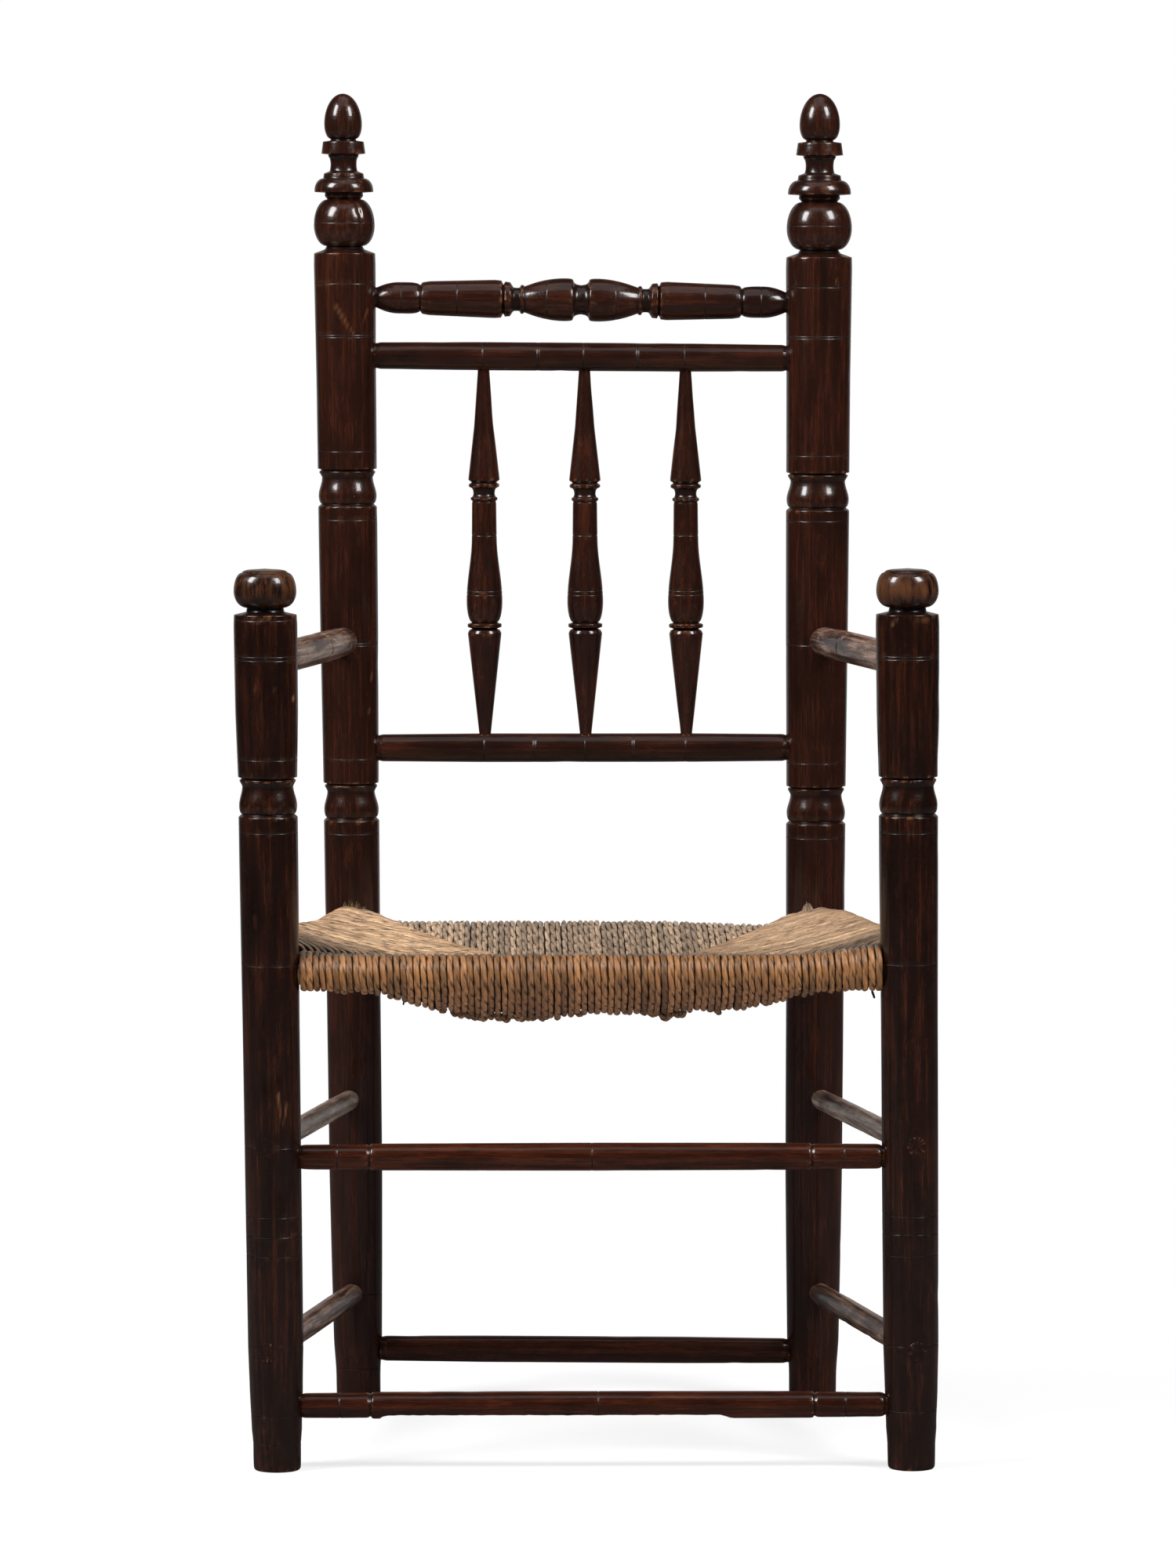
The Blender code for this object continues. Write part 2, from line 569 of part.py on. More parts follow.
def build():
    for leftover in list(bpy.data.objects):
        bpy.data.objects.remove(leftover)
    bpy.context.scene.collection.objects.link(bpy.data.objects.new("chair", None))

    front_left = front_post("front_post_left", -1)
    front_right = front_post("front_post_right", 1)
    rear_left = rear_post("rear_post_left", -1, REAR_LEFT_POST_RADIUS, 0)
    rear_right = rear_post("rear_post_right", 1, REAR_RIGHT_POST_RADIUS, REAR_RIGHT_MARKS_DROP)
    front, rear = (front_left, front_right), (rear_left, rear_right)
    sides = ((front_left, rear_left), (front_right, rear_right))

    Rail("crest_rail", rear, CREST_HEIGHT, CREST_RADIUS, crest_body, drop=CREST_DROP)
    upper_rail = Rail("spindle_rail_upper", rear, UPPER_RAIL_HEIGHT, UPPER_RAIL_RADIUS, plain_body,
                      drop=UPPER_RAIL_DROP)
    lower_rail = Rail("spindle_rail_lower", rear, LOWER_RAIL_HEIGHT, LOWER_RAIL_RADIUS, plain_body)
    for number, word in enumerate(("left", "centre", "right")):
        offset = SPINDLE_SHIFT + (number - 1) * SPINDLE_SPACING
        add_spindle("back_spindle_" + word, offset, lower_rail, upper_rail)

    seat_rails = [
        Rail("seat_rail_front", front, SEAT_RAIL_HEIGHT, SEAT_RAIL_RADIUS, plain_body, BARE_WOOD),
        Rail("seat_rail_rear", rear, REAR_SEAT_RAIL_HEIGHT, SEAT_RAIL_RADIUS, plain_body, BARE_WOOD),
    ]
    Rail("front_stretcher_upper", front, FRONT_UPPER_STRETCHER_HEIGHT, FRONT_STRETCHER_RADIUS,
         stepped_body)
    low_stretcher = Rail("front_stretcher_lower", front, FRONT_LOWER_STRETCHER_HEIGHT,
                         FRONT_STRETCHER_RADIUS, plain_body)
    split_underside(low_stretcher)
    Rail("rear_stretcher", rear, REAR_STRETCHER_HEIGHT, REAR_STRETCHER_RADIUS, plain_body,
         drop=REAR_STRETCHER_DROP)
    for side, posts in zip(("left", "right"), sides):
        seat_rails.append(Rail("seat_rail_" + side, posts, SIDE_RAIL_HEIGHT, SEAT_RAIL_RADIUS,
                               plain_body, BARE_WOOD))
        Rail("arm_" + side, posts, ARM_HEIGHT, ARM_RADIUS, plain_body, WORN_WOOD)
        Rail("side_stretcher_upper_" + side, posts, SIDE_UPPER_STRETCHER_HEIGHT,
             SIDE_UPPER_STRETCHER_RADIUS, plain_body, WORN_WOOD, through=True)
        Rail("side_stretcher_lower_" + side, posts, SIDE_LOWER_STRETCHER_HEIGHT,
             SIDE_LOWER_STRETCHER_RADIUS, plain_body, WORN_WOOD, through=True)
    add_rush_seat(sides, seat_rails)


build()
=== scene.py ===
"""A turned great chair with a spindle back and a rush seat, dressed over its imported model.

The posts, rails and spindles are turned wood under an old dark varnish, and the seat is twisted
rush wound over four rails. Lengths are in metres, the chair faces -Y and stands on z = 0.
"""
import math

import bpy
import numpy as np
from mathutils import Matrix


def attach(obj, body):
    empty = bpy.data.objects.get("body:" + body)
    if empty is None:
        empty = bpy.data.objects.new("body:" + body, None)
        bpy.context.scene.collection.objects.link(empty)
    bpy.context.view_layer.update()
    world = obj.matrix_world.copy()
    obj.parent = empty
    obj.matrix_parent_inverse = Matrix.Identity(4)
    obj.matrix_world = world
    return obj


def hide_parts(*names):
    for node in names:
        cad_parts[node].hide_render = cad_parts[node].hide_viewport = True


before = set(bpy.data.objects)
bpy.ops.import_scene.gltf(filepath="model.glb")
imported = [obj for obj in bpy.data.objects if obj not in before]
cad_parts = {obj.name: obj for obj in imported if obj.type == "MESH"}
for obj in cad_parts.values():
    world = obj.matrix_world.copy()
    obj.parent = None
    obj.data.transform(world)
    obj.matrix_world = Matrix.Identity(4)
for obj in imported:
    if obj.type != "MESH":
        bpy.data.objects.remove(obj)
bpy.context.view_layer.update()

# Front posts
# Each is one length of wood turned from the floor to its ball handgrip, with one group of rings
# between the seat and the arm, scribed lines that set out the mortises, and a dark varnish that
# hands and feet have worn off the edges.
FRONT_POST_RADIUS = 0.02635
FRONT_RINGS = 0.5608
FRONT_SHOULDER = 0.7114
GRIP_HEIGHT = 0.0380
RING_GROUP_LENGTH = 0.033
FOOT_EDGE = 0.69
POST_SIDES, POST_DENTS = 96, 60
CUT_STEPS = 32
FINE_STEP = 0.0001    # between an outline's points before it is thinned
END_DEPTH = 0.0005    # corners this near to a node's end belong to it

# A table of cuts: the kind, its share of the length, and the radius that it ends on, as a share of
# the piece's own. It begins on the radius that the cut before it ended on.
RING_GROUP = (
    ("taper", 2.2, 0.92), ("taper", 1.2, 0.885), ("ease", 9, 0.985), ("ogee", 21, 0.862),
    ("taper", 4, 0.925), ("taper", 0.7, 0.95), ("taper", 2, 0.95), ("taper", 0.8, 0.89),
    ("taper", 1.2, 0.89), ("taper", 0.8, 1.0),
)
FRONT_FOOT = (
    ("taper", 2, 0.735), ("ease", 31, 0.76), ("taper", 20, 0.80), ("ogee", 60, 0.845),
    ("taper", 45, 0.875), ("taper", 415, 0.90), ("taper", 200, 0.928), ("taper", 59, 0.932),
)
FRONT_SHAFT = (("taper", 80, 0.985), ("taper", 110, 1.0), ("taper", 14, 0.985))
GRIP = (
    ("taper", 3.5, 0.60), ("taper", 5, 0.575), ("ease", 20, 0.985), ("roll", 23, 0.72),
    ("roll", 4, 0.42), ("taper", 1.2, 0.0),
)
# A cut's curve: how far forth along its length and across its change of radius, at each part
CUTS = {
    "taper": lambda part: (part, part),
    "ease": lambda part: (1 - np.cos(part * math.pi / 2), np.sin(part * math.pi / 2)),
    "roll": lambda part: (np.sin(part * math.pi / 2), 1 - np.cos(part * math.pi / 2)),
    "bow": lambda part: (part, part * part),
    "rise": lambda part: (part, part * (2 - part)),
    "ogee": lambda part: (part, (1 - np.cos(part * math.pi)) / 2),
}


def corners_of(node):
    """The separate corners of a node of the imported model, as rows of x, y and z."""
    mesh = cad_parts[node].data
    corners = np.empty(3 * len(mesh.vertices), dtype=np.float32)
    mesh.vertices.foreach_get("co", corners)
    return np.unique(corners.reshape(-1, 3).astype(float).round(6), axis=0)


def ends_of(node):
    """The middles of a long node's two ends: the mean of the corners next to each end, measured along
    the line that the node's corners lie nearest to."""
    corners = corners_of(node)
    middle = corners.mean(axis=0)
    line = np.linalg.svd(corners - middle, full_matrices=False)[2][0]
    line = line * np.sign(line[np.abs(line).argmax()])
    place = (corners - middle) @ line
    return (corners[place < place.min() + END_DEPTH].mean(axis=0),
            corners[place > place.max() - END_DEPTH].mean(axis=0))


def blurred(rows, reach):
    """Each row averaged along itself with a bell curve of that reach, its ends held in place by
    carrying the row on past them, turned half round."""
    half = int(4 * reach / FINE_STEP)
    bell = np.exp(-0.5 * (np.arange(-half, half + 1) * FINE_STEP / reach) ** 2)
    bell = bell / bell.sum()
    longer = [np.concatenate((2 * row[0] - row[half:0:-1], row, 2 * row[-1] - row[-2:-half - 2:-1]))
              for row in rows]
    return np.stack([np.convolve(row, bell, "valid") for row in longer])


# How a worn outline is read: the steps that it is thinned by, how narrow a scribed line is, how
# wide it is averaged to tell edges and hollows, and how far off its average they count in full
LONG_STEP, TURN_STEP = 0.004, 0.15
SCRIBE_HALF_WIDTH, LEAST_SCRIBED = 0.00038, 0.003
SHARP_REACH, BROAD_REACH = 0.0009, 0.0030
FULL_EDGE, FULL_SHARP_HOLLOW, FULL_BROAD_HOLLOW = 0.00028, 0.0003, 0.0011
LEAST_RADIUS = 0.0004


class Turning:
    """The outline of a turned piece: places along its axis, and the radius at each of them."""

    def __init__(self, radius):
        self.places = [np.zeros(2)]
        self.radii = [np.array([0.0, radius])]

    def cut(self, kind, length, radius):
        """One cut from the last radius to this one, along the curve of its kind."""
        place, start = self.places[-1][-1], self.radii[-1][-1]
        forth, across = CUTS[kind](np.arange(1, CUT_STEPS + 1) / CUT_STEPS)
        self.places.append(place + length * forth)
        self.radii.append(start + (radius - start) * across)

    def cuts(self, rows, length, radius):
        """A table of cuts, its lengths scaled to fill the length."""
        whole = sum(row[1] for row in rows)
        for kind, share, radius_share in rows:
            self.cut(kind, length * share / whole, radius * radius_share)

    def worn(self, scribes=(), scribed_depth=0.0002, rounding=0.0004):
        """The outline with worn edges, thinned to the points that its bends need.

        The line is laid off in even steps and averaged with a bell curve, and each scribed line
        is a small bell taken off the radius. Where the line lies outside its own average it is
        raised, and where inside it, hollow. A point is kept each time the way gone, in long
        steps, plus the angle turned, in turning steps, passes a whole number.
        """
        place, radius = np.concatenate(self.places), np.concatenate(self.radii)
        way = np.concatenate(((0.0,), np.cumsum(np.hypot(np.diff(place), np.diff(radius)))))
        fresh = np.concatenate(((True,), np.diff(way) > 1e-9))
        even = np.linspace(0, way[-1], int(way[-1] / FINE_STEP) + 1)
        line = np.stack([np.interp(even, way[fresh], row[fresh]) for row in (place, radius)])
        line = blurred(line, rounding)
        scribed = np.zeros(len(even))
        for spot in scribes:
            scribed = np.maximum(scribed, np.exp(-((line[0] - spot) / SCRIBE_HALF_WIDTH) ** 2))
        scribed = scribed * (line[1] > LEAST_SCRIBED)
        line[1] -= scribed_depth * scribed
        forth = np.gradient(line, axis=1)
        forth = forth / np.maximum(np.hypot(*forth), 1e-9)
        outward = np.stack((-forth[1], forth[0]))
        sharp = ((line - blurred(line, SHARP_REACH)) * outward).sum(axis=0)
        broad = ((line - blurred(line, BROAD_REACH)) * outward).sum(axis=0)
        hollow = np.clip(-sharp / FULL_SHARP_HOLLOW, 0, 1) + np.clip(-broad / FULL_BROAD_HOLLOW, 0, 1)
        raised = np.clip(sharp / FULL_EDGE, 0, 1)
        turned = np.abs(np.diff(np.unwrap(np.arctan2(forth[1], forth[0]))))
        gone = np.cumsum(np.hypot(*np.diff(line, axis=1)) / LONG_STEP + turned / TURN_STEP)
        keep = np.concatenate(((True,), np.diff(np.floor(gone)) > 0, (False,)))
        keep[-1] = True
        keep[1:-1] &= line[1][1:-1] > LEAST_RADIUS
        rows = np.stack((line[0], line[1], np.clip(hollow, 0, 1), raised, scribed))[:, keep]
        rows[1, 0] = rows[1, -1] = 0.0
        return rows


def waves(angle, place, chance, count, most_round, most_along):
    """A sum of cosine waves, about 1 high, that close on themselves round the piece."""
    shape = (count, 1, 1)
    round_it = chance.integers(0, most_round + 1, shape)
    along = chance.uniform(-most_along, most_along, shape)
    phase = chance.uniform(0, math.tau, shape)
    total = np.cos(round_it * angle + along * place + phase).sum(axis=0)
    return total * math.sqrt(2 / count) / 2


DENT_SIZES, DENT_DEPTHS, DENT_STRETCHES = (0.0018, 0.0065), (0.00008, 0.0004), (1, 2.6)


def dented(angle, place, radius, chance, count):
    """Depth of scattered dents, each a bell a few millimetres wide round a spot picked at random."""
    shape = (count, 1, 1)
    spot = chance.uniform(place.min(), place.max(), shape)
    side = chance.uniform(0, math.tau, shape)
    size = chance.uniform(*DENT_SIZES, shape)
    depth = chance.uniform(*DENT_DEPTHS, shape)
    stretch = chance.uniform(*DENT_STRETCHES, shape)
    across = (np.mod(angle - side + math.pi, math.tau) - math.pi) * radius
    return (depth * np.exp(-(across / size) ** 2 - ((place - spot) / (size * stretch)) ** 2)).sum(axis=0)


def mesh_of(name, corners, faces, values):
    """A smooth mesh from rows of corners, arrays of faces and values for each corner."""
    mesh = bpy.data.meshes.new(name)
    loops = np.concatenate([rows.ravel() for rows in faces])
    sizes = np.concatenate([np.full(len(rows), rows.shape[1]) for rows in faces])
    mesh.vertices.add(len(corners))
    mesh.vertices.foreach_set("co", np.ascontiguousarray(corners, dtype=np.float32).ravel())
    mesh.loops.add(len(loops))
    mesh.loops.foreach_set("vertex_index", loops.astype(np.int32))
    mesh.polygons.add(len(sizes))
    mesh.polygons.foreach_set("loop_start", (np.cumsum(sizes) - sizes).astype(np.int32))
    mesh.update(calc_edges=True)
    for word, rows in values.items():
        kind, key = {1: ("FLOAT", "value"), 3: ("FLOAT_VECTOR", "vector"),
                     4: ("FLOAT_COLOR", "color")}[rows.size // len(corners)]
        layer = mesh.attributes.new(word, kind, "POINT")
        layer.data.foreach_set(key, np.ascontiguousarray(rows, dtype=np.float32).ravel())
    mesh.shade_smooth()
    return mesh


def add_piece(name, mesh, finish, slot, *nodes):
    """Puts a mesh in the scene as a piece of the chair, in place of its nodes."""
    piece = bpy.data.objects.new(name, mesh)
    bpy.context.scene.collection.objects.link(piece)
    mesh.materials.append(finish)
    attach(piece, "root")
    if nodes:
        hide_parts(*nodes)
    return piece


def marked(angle, place, radius, from_angle, from_place, to_angle, to_place, width):
    """How far each spot lies in a scratch or a worn patch: a bell across the straight line between
    its two ends, which narrows towards the second. An end is a place along the piece, and degrees
    from a post's front or a rail's underside."""
    turn = np.mod(angle + math.pi / 2 - math.radians(from_angle) + math.pi, math.tau) - math.pi
    across, along = turn * radius, place - from_place
    side, rise = math.radians(to_angle - from_angle) * radius, to_place - from_place
    share = np.clip((across * side + along * rise) / (side ** 2 + rise ** 2), 0, 1)
    off = np.hypot(across - share * side, along - share * rise)
    return np.exp(-(off / (width * (1.1 - 0.6 * share))) ** 2)


WAVE_DEPTH, CHIP_DEPTH, SCRIBE_ROUGHNESS = 0.00008, 0.0007, 0.00012


def turned_mesh(name, start, forward, level, up, outline, sides, seed, dents, marks=(), flaw=None):
    """An outline turned about a line, as a grid of angle by outline point, closed by two poles.

    A point is the start plus its place times forward, plus its radius times the cosine of its
    angle times level and the sine times up. The radius is only ever lessened: by slow waves round
    and along, by dents, by chips, which are quick waves on the raised edges, and by the marks. A
    flaw moves single points. The piece's own coordinates are kept as its grain.
    """
    place, radius, hollow, raised, scribed = [row[1:-1, None] for row in outline]
    chance = np.random.default_rng(seed)
    angle = np.arange(sides)[None, :] * math.tau / sides
    slow = waves(angle, place, chance, count=9, most_round=3, most_along=30)
    quick = waves(angle, place, chance, count=24, most_round=17, most_along=900)
    depth = WAVE_DEPTH * (1 - np.clip(slow, -1, 1)) * np.clip(radius / 0.02, 0, 1)
    depth = depth + dented(angle, place, radius, chance, dents)
    depth = depth + CHIP_DEPTH * raised * np.clip(quick - 0.5, 0, 1)
    depth = depth + SCRIBE_ROUGHNESS * scribed * quick
    bare = raised * np.clip(quick * 2 - 0.3, 0, 1)
    for *mark, bareness, deep in marks:
        spot = marked(angle, place, radius, *mark)
        depth = depth + deep * spot
        bare = np.maximum(bare, bareness * spot)
    reach = radius - np.clip(depth, 0, 0.25 * radius)
    aside, above = reach * np.cos(angle), reach * np.sin(angle)
    along = place + 0 * angle
    if flaw:
        rough = waves(angle, place, chance, count=30, most_round=12, most_along=700)
        along, above, more = flaw(along, aside, above, rough)
        bare = np.maximum(bare, more)
    grid = start + along[..., None] * forward + aside[..., None] * level + above[..., None] * up
    rings, count = aside.shape
    here = np.arange(sides)
    there = (here + 1) % sides
    base = 1 + np.arange(rings - 1)[:, None] * sides
    quads = np.stack((base + here, base + there, base + sides + there, base + sides + here), axis=-1)
    last = 1 + rings * sides
    low = np.stack((0 * here, 1 + there, 1 + here), axis=-1)
    high = np.stack((0 * here + last, last - sides + here, last - sides + there), axis=-1)
    if flaw:
        poles = [grid[0].mean(axis=0), grid[-1].mean(axis=0)]
    else:
        poles = [start + outline[0][row] * forward for row in (0, -1)]
    corners = np.concatenate((poles[:1], grid.reshape(-1, 3), poles[1:]))
    offset = chance.uniform(-4, 4, 3)
    grain = np.stack((aside, above, along), axis=-1).reshape(-1, 3)
    grain = np.concatenate(([[0, 0, outline[0][0]]], grain, [[0, 0, outline[0][-1]]])) + offset
    ends = lambda rows: np.concatenate(((rows[0, 0],), rows.ravel(), (rows[-1, -1],)))
    spread = lambda rows: ends(rows + 0 * angle)
    values = {"grain": grain, "hollow": spread(hollow), "scribed": spread(scribed), "bare": ends(bare)}
    return mesh_of(name, corners, [quads.reshape(-1, 4), low, high], values)


def paint(*levels):
    """A colour written from 0 to 255 as it shows on a screen, turned into amounts of light."""
    shares = np.array(levels) / 255
    light = np.where(shares <= 0.04045, shares / 12.92, ((shares + 0.055) / 1.055) ** 2.4)
    return (*light.tolist(), 1.0)


class Dab:
    """One socket of a finish's nodes. Arithmetic on it adds Math nodes."""

    def __init__(self, tree, socket=None):
        self.tree = tree
        self.socket = socket

    def node(self, kind, settings, values, output=0):
        """Adds a node, sets its settings and then its sockets, and gives one of its outputs.

        The stops of a ramp are pairs of a place and a colour.
        """
        node = self.tree.nodes.new(kind)
        for setting, value in settings.items():
            if setting == "stops":
                stops = node.color_ramp.elements
                for _ in value[2:]:
                    stops.new(1.0)
                for stop, (place, colour) in zip(stops, value):
                    stop.position, stop.color = place, colour
            else:
                setattr(node, setting, value)
        for where, value in values.items():
            if isinstance(value, Dab):
                self.tree.links.new(value.socket, node.inputs[where])
            else:
                node.inputs[where].default_value = value
        return Dab(self.tree, node.outputs[output])

    def maths(self, operation, first, second):
        """One Math node on two values."""
        return self.node("ShaderNodeMath", {"operation": operation}, {0: first, 1: second})

    def __add__(self, other):
        return self.maths("ADD", self, other)

    def __radd__(self, other):
        return self.maths("ADD", other, self)

    def __sub__(self, other):
        return self.maths("SUBTRACT", self, other)

    def __rsub__(self, other):
        return self.maths("SUBTRACT", other, self)

    def __mul__(self, other):
        return self.maths("MULTIPLY", self, other)

    def __rmul__(self, other):
        return self.maths("MULTIPLY", other, self)

    def between(self, low, high):
        """Smooth step from 0 at low to 1 at high."""
        return self.node("ShaderNodeMapRange", {"interpolation_type": "SMOOTHSTEP"},
                         {0: self, 1: low, 2: high, 3: 0.0, 4: 1.0})

    def mix(self, first, second):
        """From the first colour to the second by this share."""
        return self.node("ShaderNodeMix", {"data_type": "RGBA"}, {0: self, 6: first, 7: second}, 2)

    def times(self, colour):
        """This colour multiplied by another, channel by channel."""
        return self.node("ShaderNodeVectorMath", {"operation": "MULTIPLY"}, {0: self, 1: colour})

    def cloud(self, scales, detail, roughness=0.55):
        """Noise over this vector, stretched by three scales."""
        return self.node("ShaderNodeTexNoise", {}, {
            "Vector": self.times(scales), "Scale": 1.0, "Detail": detail, "Roughness": roughness})

    def ramp(self, *stops):
        """The colour that belongs to this value, between stops of a place and a colour."""
        return self.node("ShaderNodeValToRGB", {"stops": stops}, {0: self})

    def attribute(self, word, output):
        """What the mesh keeps under that word: a colour (0), a vector (1) or a number (2)."""
        return self.node("ShaderNodeAttribute", {"attribute_name": word}, {}, output)

    def feed(self, shader, name):
        """Links this to a socket of a shader or of the output."""
        self.tree.links.new(self.socket, shader.inputs[name])

    def bump(self, shader, strength, distance):
        """Lets the shader stand in relief by this height."""
        self.node("ShaderNodeBump", {}, {
            "Strength": strength, "Distance": distance, "Height": self}).feed(shader, "Normal")


def finish_of(name):
    """A new finish, its first dab and its shader."""
    finish = bpy.data.materials.new(name)
    finish.use_nodes = True
    return finish, Dab(finish.node_tree), finish.node_tree.nodes["Principled BSDF"]


MIDDLE_TONE = 0.51
PORES, GRIME, SCRIBED_DARK, CRACKED = paint(13, 7, 5), paint(13, 8, 6), paint(8, 5, 4), paint(20, 11, 8)
# The last colour is a pale crust that also serves as a painted glint on the scribed lines
NICKED, BARED, CRUST_AND_GLINT = paint(128, 80, 52), paint(118, 76, 48), paint(98, 82, 70)


def wood(name, dark, middle, light, contrast, wear, gloss):
    """Turned wood under old varnish.

    Its tone is the sum of long streaks, fine fibres and blotches, each a noise stretched along the
    grain. Grime darkens the hollows, a pale crust lies in parts of the scribed lines and also stands
    as a painted glint there, and bare wood shows on chipped edges, in sparse nicks and in worn
    patches. Pores, fibres and the faint rings left by the turning tool's chatter make the bump.
    """
    finish, dab, shader = finish_of(name)
    grain = dab.attribute("grain", 1)
    hollow, scribed, bare = (dab.attribute(word, 2) for word in ("hollow", "scribed", "bare"))
    streaks = grain.cloud((260, 260, 10), 6, 0.68)
    fibres = grain.cloud((1900, 1900, 60), 3, 0.6)
    pores = grain.cloud((2600, 2600, 150), 2).between(0.60, 0.72)
    blotches = grain.cloud((34, 34, 13), 5, 0.65)
    tone = streaks * 0.40 + fibres * 0.22 + blotches * 0.38
    colour = tone.ramp((MIDDLE_TONE - contrast, dark), (MIDDLE_TONE, middle),
                       (MIDDLE_TONE + contrast, light))
    colour = (blotches.between(0.52, 0.70) * 0.6).mix(colour, dark)
    colour = (pores * 0.6).mix(colour, PORES)
    worn = grain.cloud((60, 60, 22), 5, 0.7)
    patches = (worn.between(0.60, 0.70) * wear).mix(colour, light)
    nicks = grain.cloud((260, 260, 90), 4, 0.75).between(0.72, 0.76) * worn.between(0.46, 0.60)
    patches = (nicks * 0.8).mix(patches, NICKED)
    patches = (bare * (streaks + blotches).between(0.84, 1.12) * 0.85).mix(patches, BARED)
    cracks = grain.cloud((620, 620, 60), 4, 0.7).between(0.62, 0.68) * bare.between(0.10, 0.35)
    patches = (cracks * 0.6).mix(patches, CRACKED)
    crust_and_glint = scribed * fibres.between(0.44, 0.60) * worn.between(0.50, 0.64)
    patches = (hollow * 0.72).mix(patches, GRIME)
    patches = (scribed * 0.7).mix(patches, SCRIBED_DARK)
    # A pale crust in parts of the scribed lines, in part a painted glint
    patches = (crust_and_glint * 0.35).mix(patches, CRUST_AND_GLINT)
    patches.feed(shader, "Base Color")
    rough = gloss + blotches * 0.08 + nicks * 0.25 + hollow * 0.10 + bare * 0.12 + scribed * 0.35
    rough.feed(shader, "Roughness")
    (0.28 - scribed * 0.24 - hollow * 0.04).feed(shader, "Coat Weight")
    chatter = grain.cloud((90, 90, 380), 3, 0.65)
    height = fibres * 0.30 + streaks * 0.35 + chatter * 1.8 - pores * 0.7 - nicks * 1.2 - cracks * 2.0
    height.bump(shader, 0.20, 0.00030)
    shader.inputs["IOR"].default_value = 1.5
    shader.inputs["Specular IOR Level"].default_value = 0.26
    shader.inputs["Coat Roughness"].default_value = 0.08
    return finish


X_AXIS, Y_AXIS, Z_AXIS = np.eye(3)
dark_varnish = wood("darkest_varnish", paint(10, 5, 4), paint(25, 11, 7), paint(66, 30, 15),
                    contrast=0.145, wear=0.28, gloss=0.15)


def add_post(name, outline, seed, finish, marks=()):
    """A post: its rings lie level, and its axis runs from the middle of its foot to its top."""
    foot, top = ends_of(name)
    forward = (top - foot) / (top[2] - foot[2])
    mesh = turned_mesh(name + "_turned", foot, forward, X_AXIS, Y_AXIS, outline, POST_SIDES, seed,
                       POST_DENTS, marks)
    add_piece(name + "_turned", mesh, finish, "varnished_wood", name)


front_line = Turning(FRONT_POST_RADIUS * FOOT_EDGE)
front_line.cuts(FRONT_FOOT, FRONT_RINGS - RING_GROUP_LENGTH / 2, FRONT_POST_RADIUS)
front_line.cuts(RING_GROUP, RING_GROUP_LENGTH, FRONT_POST_RADIUS * FRONT_FOOT[-1][2])
front_line.cuts(FRONT_SHAFT, FRONT_SHOULDER - FRONT_RINGS - RING_GROUP_LENGTH / 2, FRONT_POST_RADIUS)
front_line.cuts(GRIP, GRIP_HEIGHT, FRONT_POST_RADIUS)
# Marks of hands, feet and tools. A row holds a mark's two ends, each as degrees from the post's
# front and a height, then its half width, how bare it is, and its depth. The first rows of each
# table are the wear of a hand on the grip.
LEFT_FRONT_MARKS = (
    (-70, 0.738, 70, 0.736, 0.0110, 0.34, 0.0), (20, 0.742, 160, 0.742, 0.0140, 0.30, 0.0),
    (-170, 0.742, -80, 0.742, 0.0140, 0.28, 0.0), (-12, 0.7075, 10, 0.7085, 0.0012, 0.5, 0.0005),
    (-22, 0.6525, -19, 0.6515, 0.0011, 1.0, 0.0003), (17, 0.6492, 17, 0.6486, 0.0013, 1.0, 0.0003),
    (60, 0.6430, 64, 0.6418, 0.0016, 1.0, 0.0003), (14, 0.3170, 22, 0.2890, 0.0009, 0.8, 0.0002),
    (32, 0.3080, 27, 0.2930, 0.0007, 0.7, 0.0002),
)
RIGHT_FRONT_MARKS = (
    (-80, 0.736, 60, 0.731, 0.0110, 0.40, 0.0002), (60, 0.742, 180, 0.742, 0.0140, 0.30, 0.0),
    (-30, 0.7050, -22, 0.7080, 0.0018, 0.9, 0.0006), (15, 0.7090, 40, 0.7080, 0.0013, 0.4, 0.0005),
    (50, 0.1500, 56, 0.1440, 0.0012, 0.9, 0.0003), (-20, 0.0920, 40, 0.0905, 0.0010, 0.5, 0.0004),
)
# Heights of the scribed lines
LEFT_FRONT_SCRIBES = (0.0231, 0.0464, 0.1047, 0.1805, 0.1967, 0.2129, 0.2706, 0.4216, 0.5317, 0.5920,
                      0.6743, 0.6775, 0.7073)
RIGHT_FRONT_SCRIBES = (0.0497, 0.1047, 0.1799, 0.1980, 0.2129, 0.4222, 0.5311, 0.6749, 0.6775)
for name, scribes, seed, marks in (
        ("front_post_left", LEFT_FRONT_SCRIBES, 11, LEFT_FRONT_MARKS),
        ("front_post_right", RIGHT_FRONT_SCRIBES, 12, RIGHT_FRONT_MARKS)):
    add_post(name, front_line.worn(scribes), seed, dark_varnish, marks)

# Rear posts
# Each is turned in one with its finial: a ball, a flange, a cove under a thin disc, and an acorn.
# The right one is thicker, and its rings stand a little lower, as the turner left them.
REAR_RINGS = (0.5314, 0.8047)
REAR_SHOULDER = 1.0078
FINIAL_HEIGHT = 0.1380
LEFT_REAR_RADIUS, RIGHT_REAR_RADIUS, RIGHT_DROP = 0.0269, 0.0288, 0.0035
REAR_FOOT = (
    ("taper", 2, 0.70), ("ease", 33, 0.72), ("ogee", 60, 0.79), ("taper", 100, 0.828),
    ("taper", 100, 0.86), ("taper", 220, 0.877), ("taper", 232, 0.90),
)
REAR_WAIST = (("taper", 90, 0.917), ("taper", 100, 0.938), ("taper", 160, 0.956))
REAR_NECK = (("taper", 120, 0.966), ("taper", 140, 1.0), ("taper", 14, 0.99))
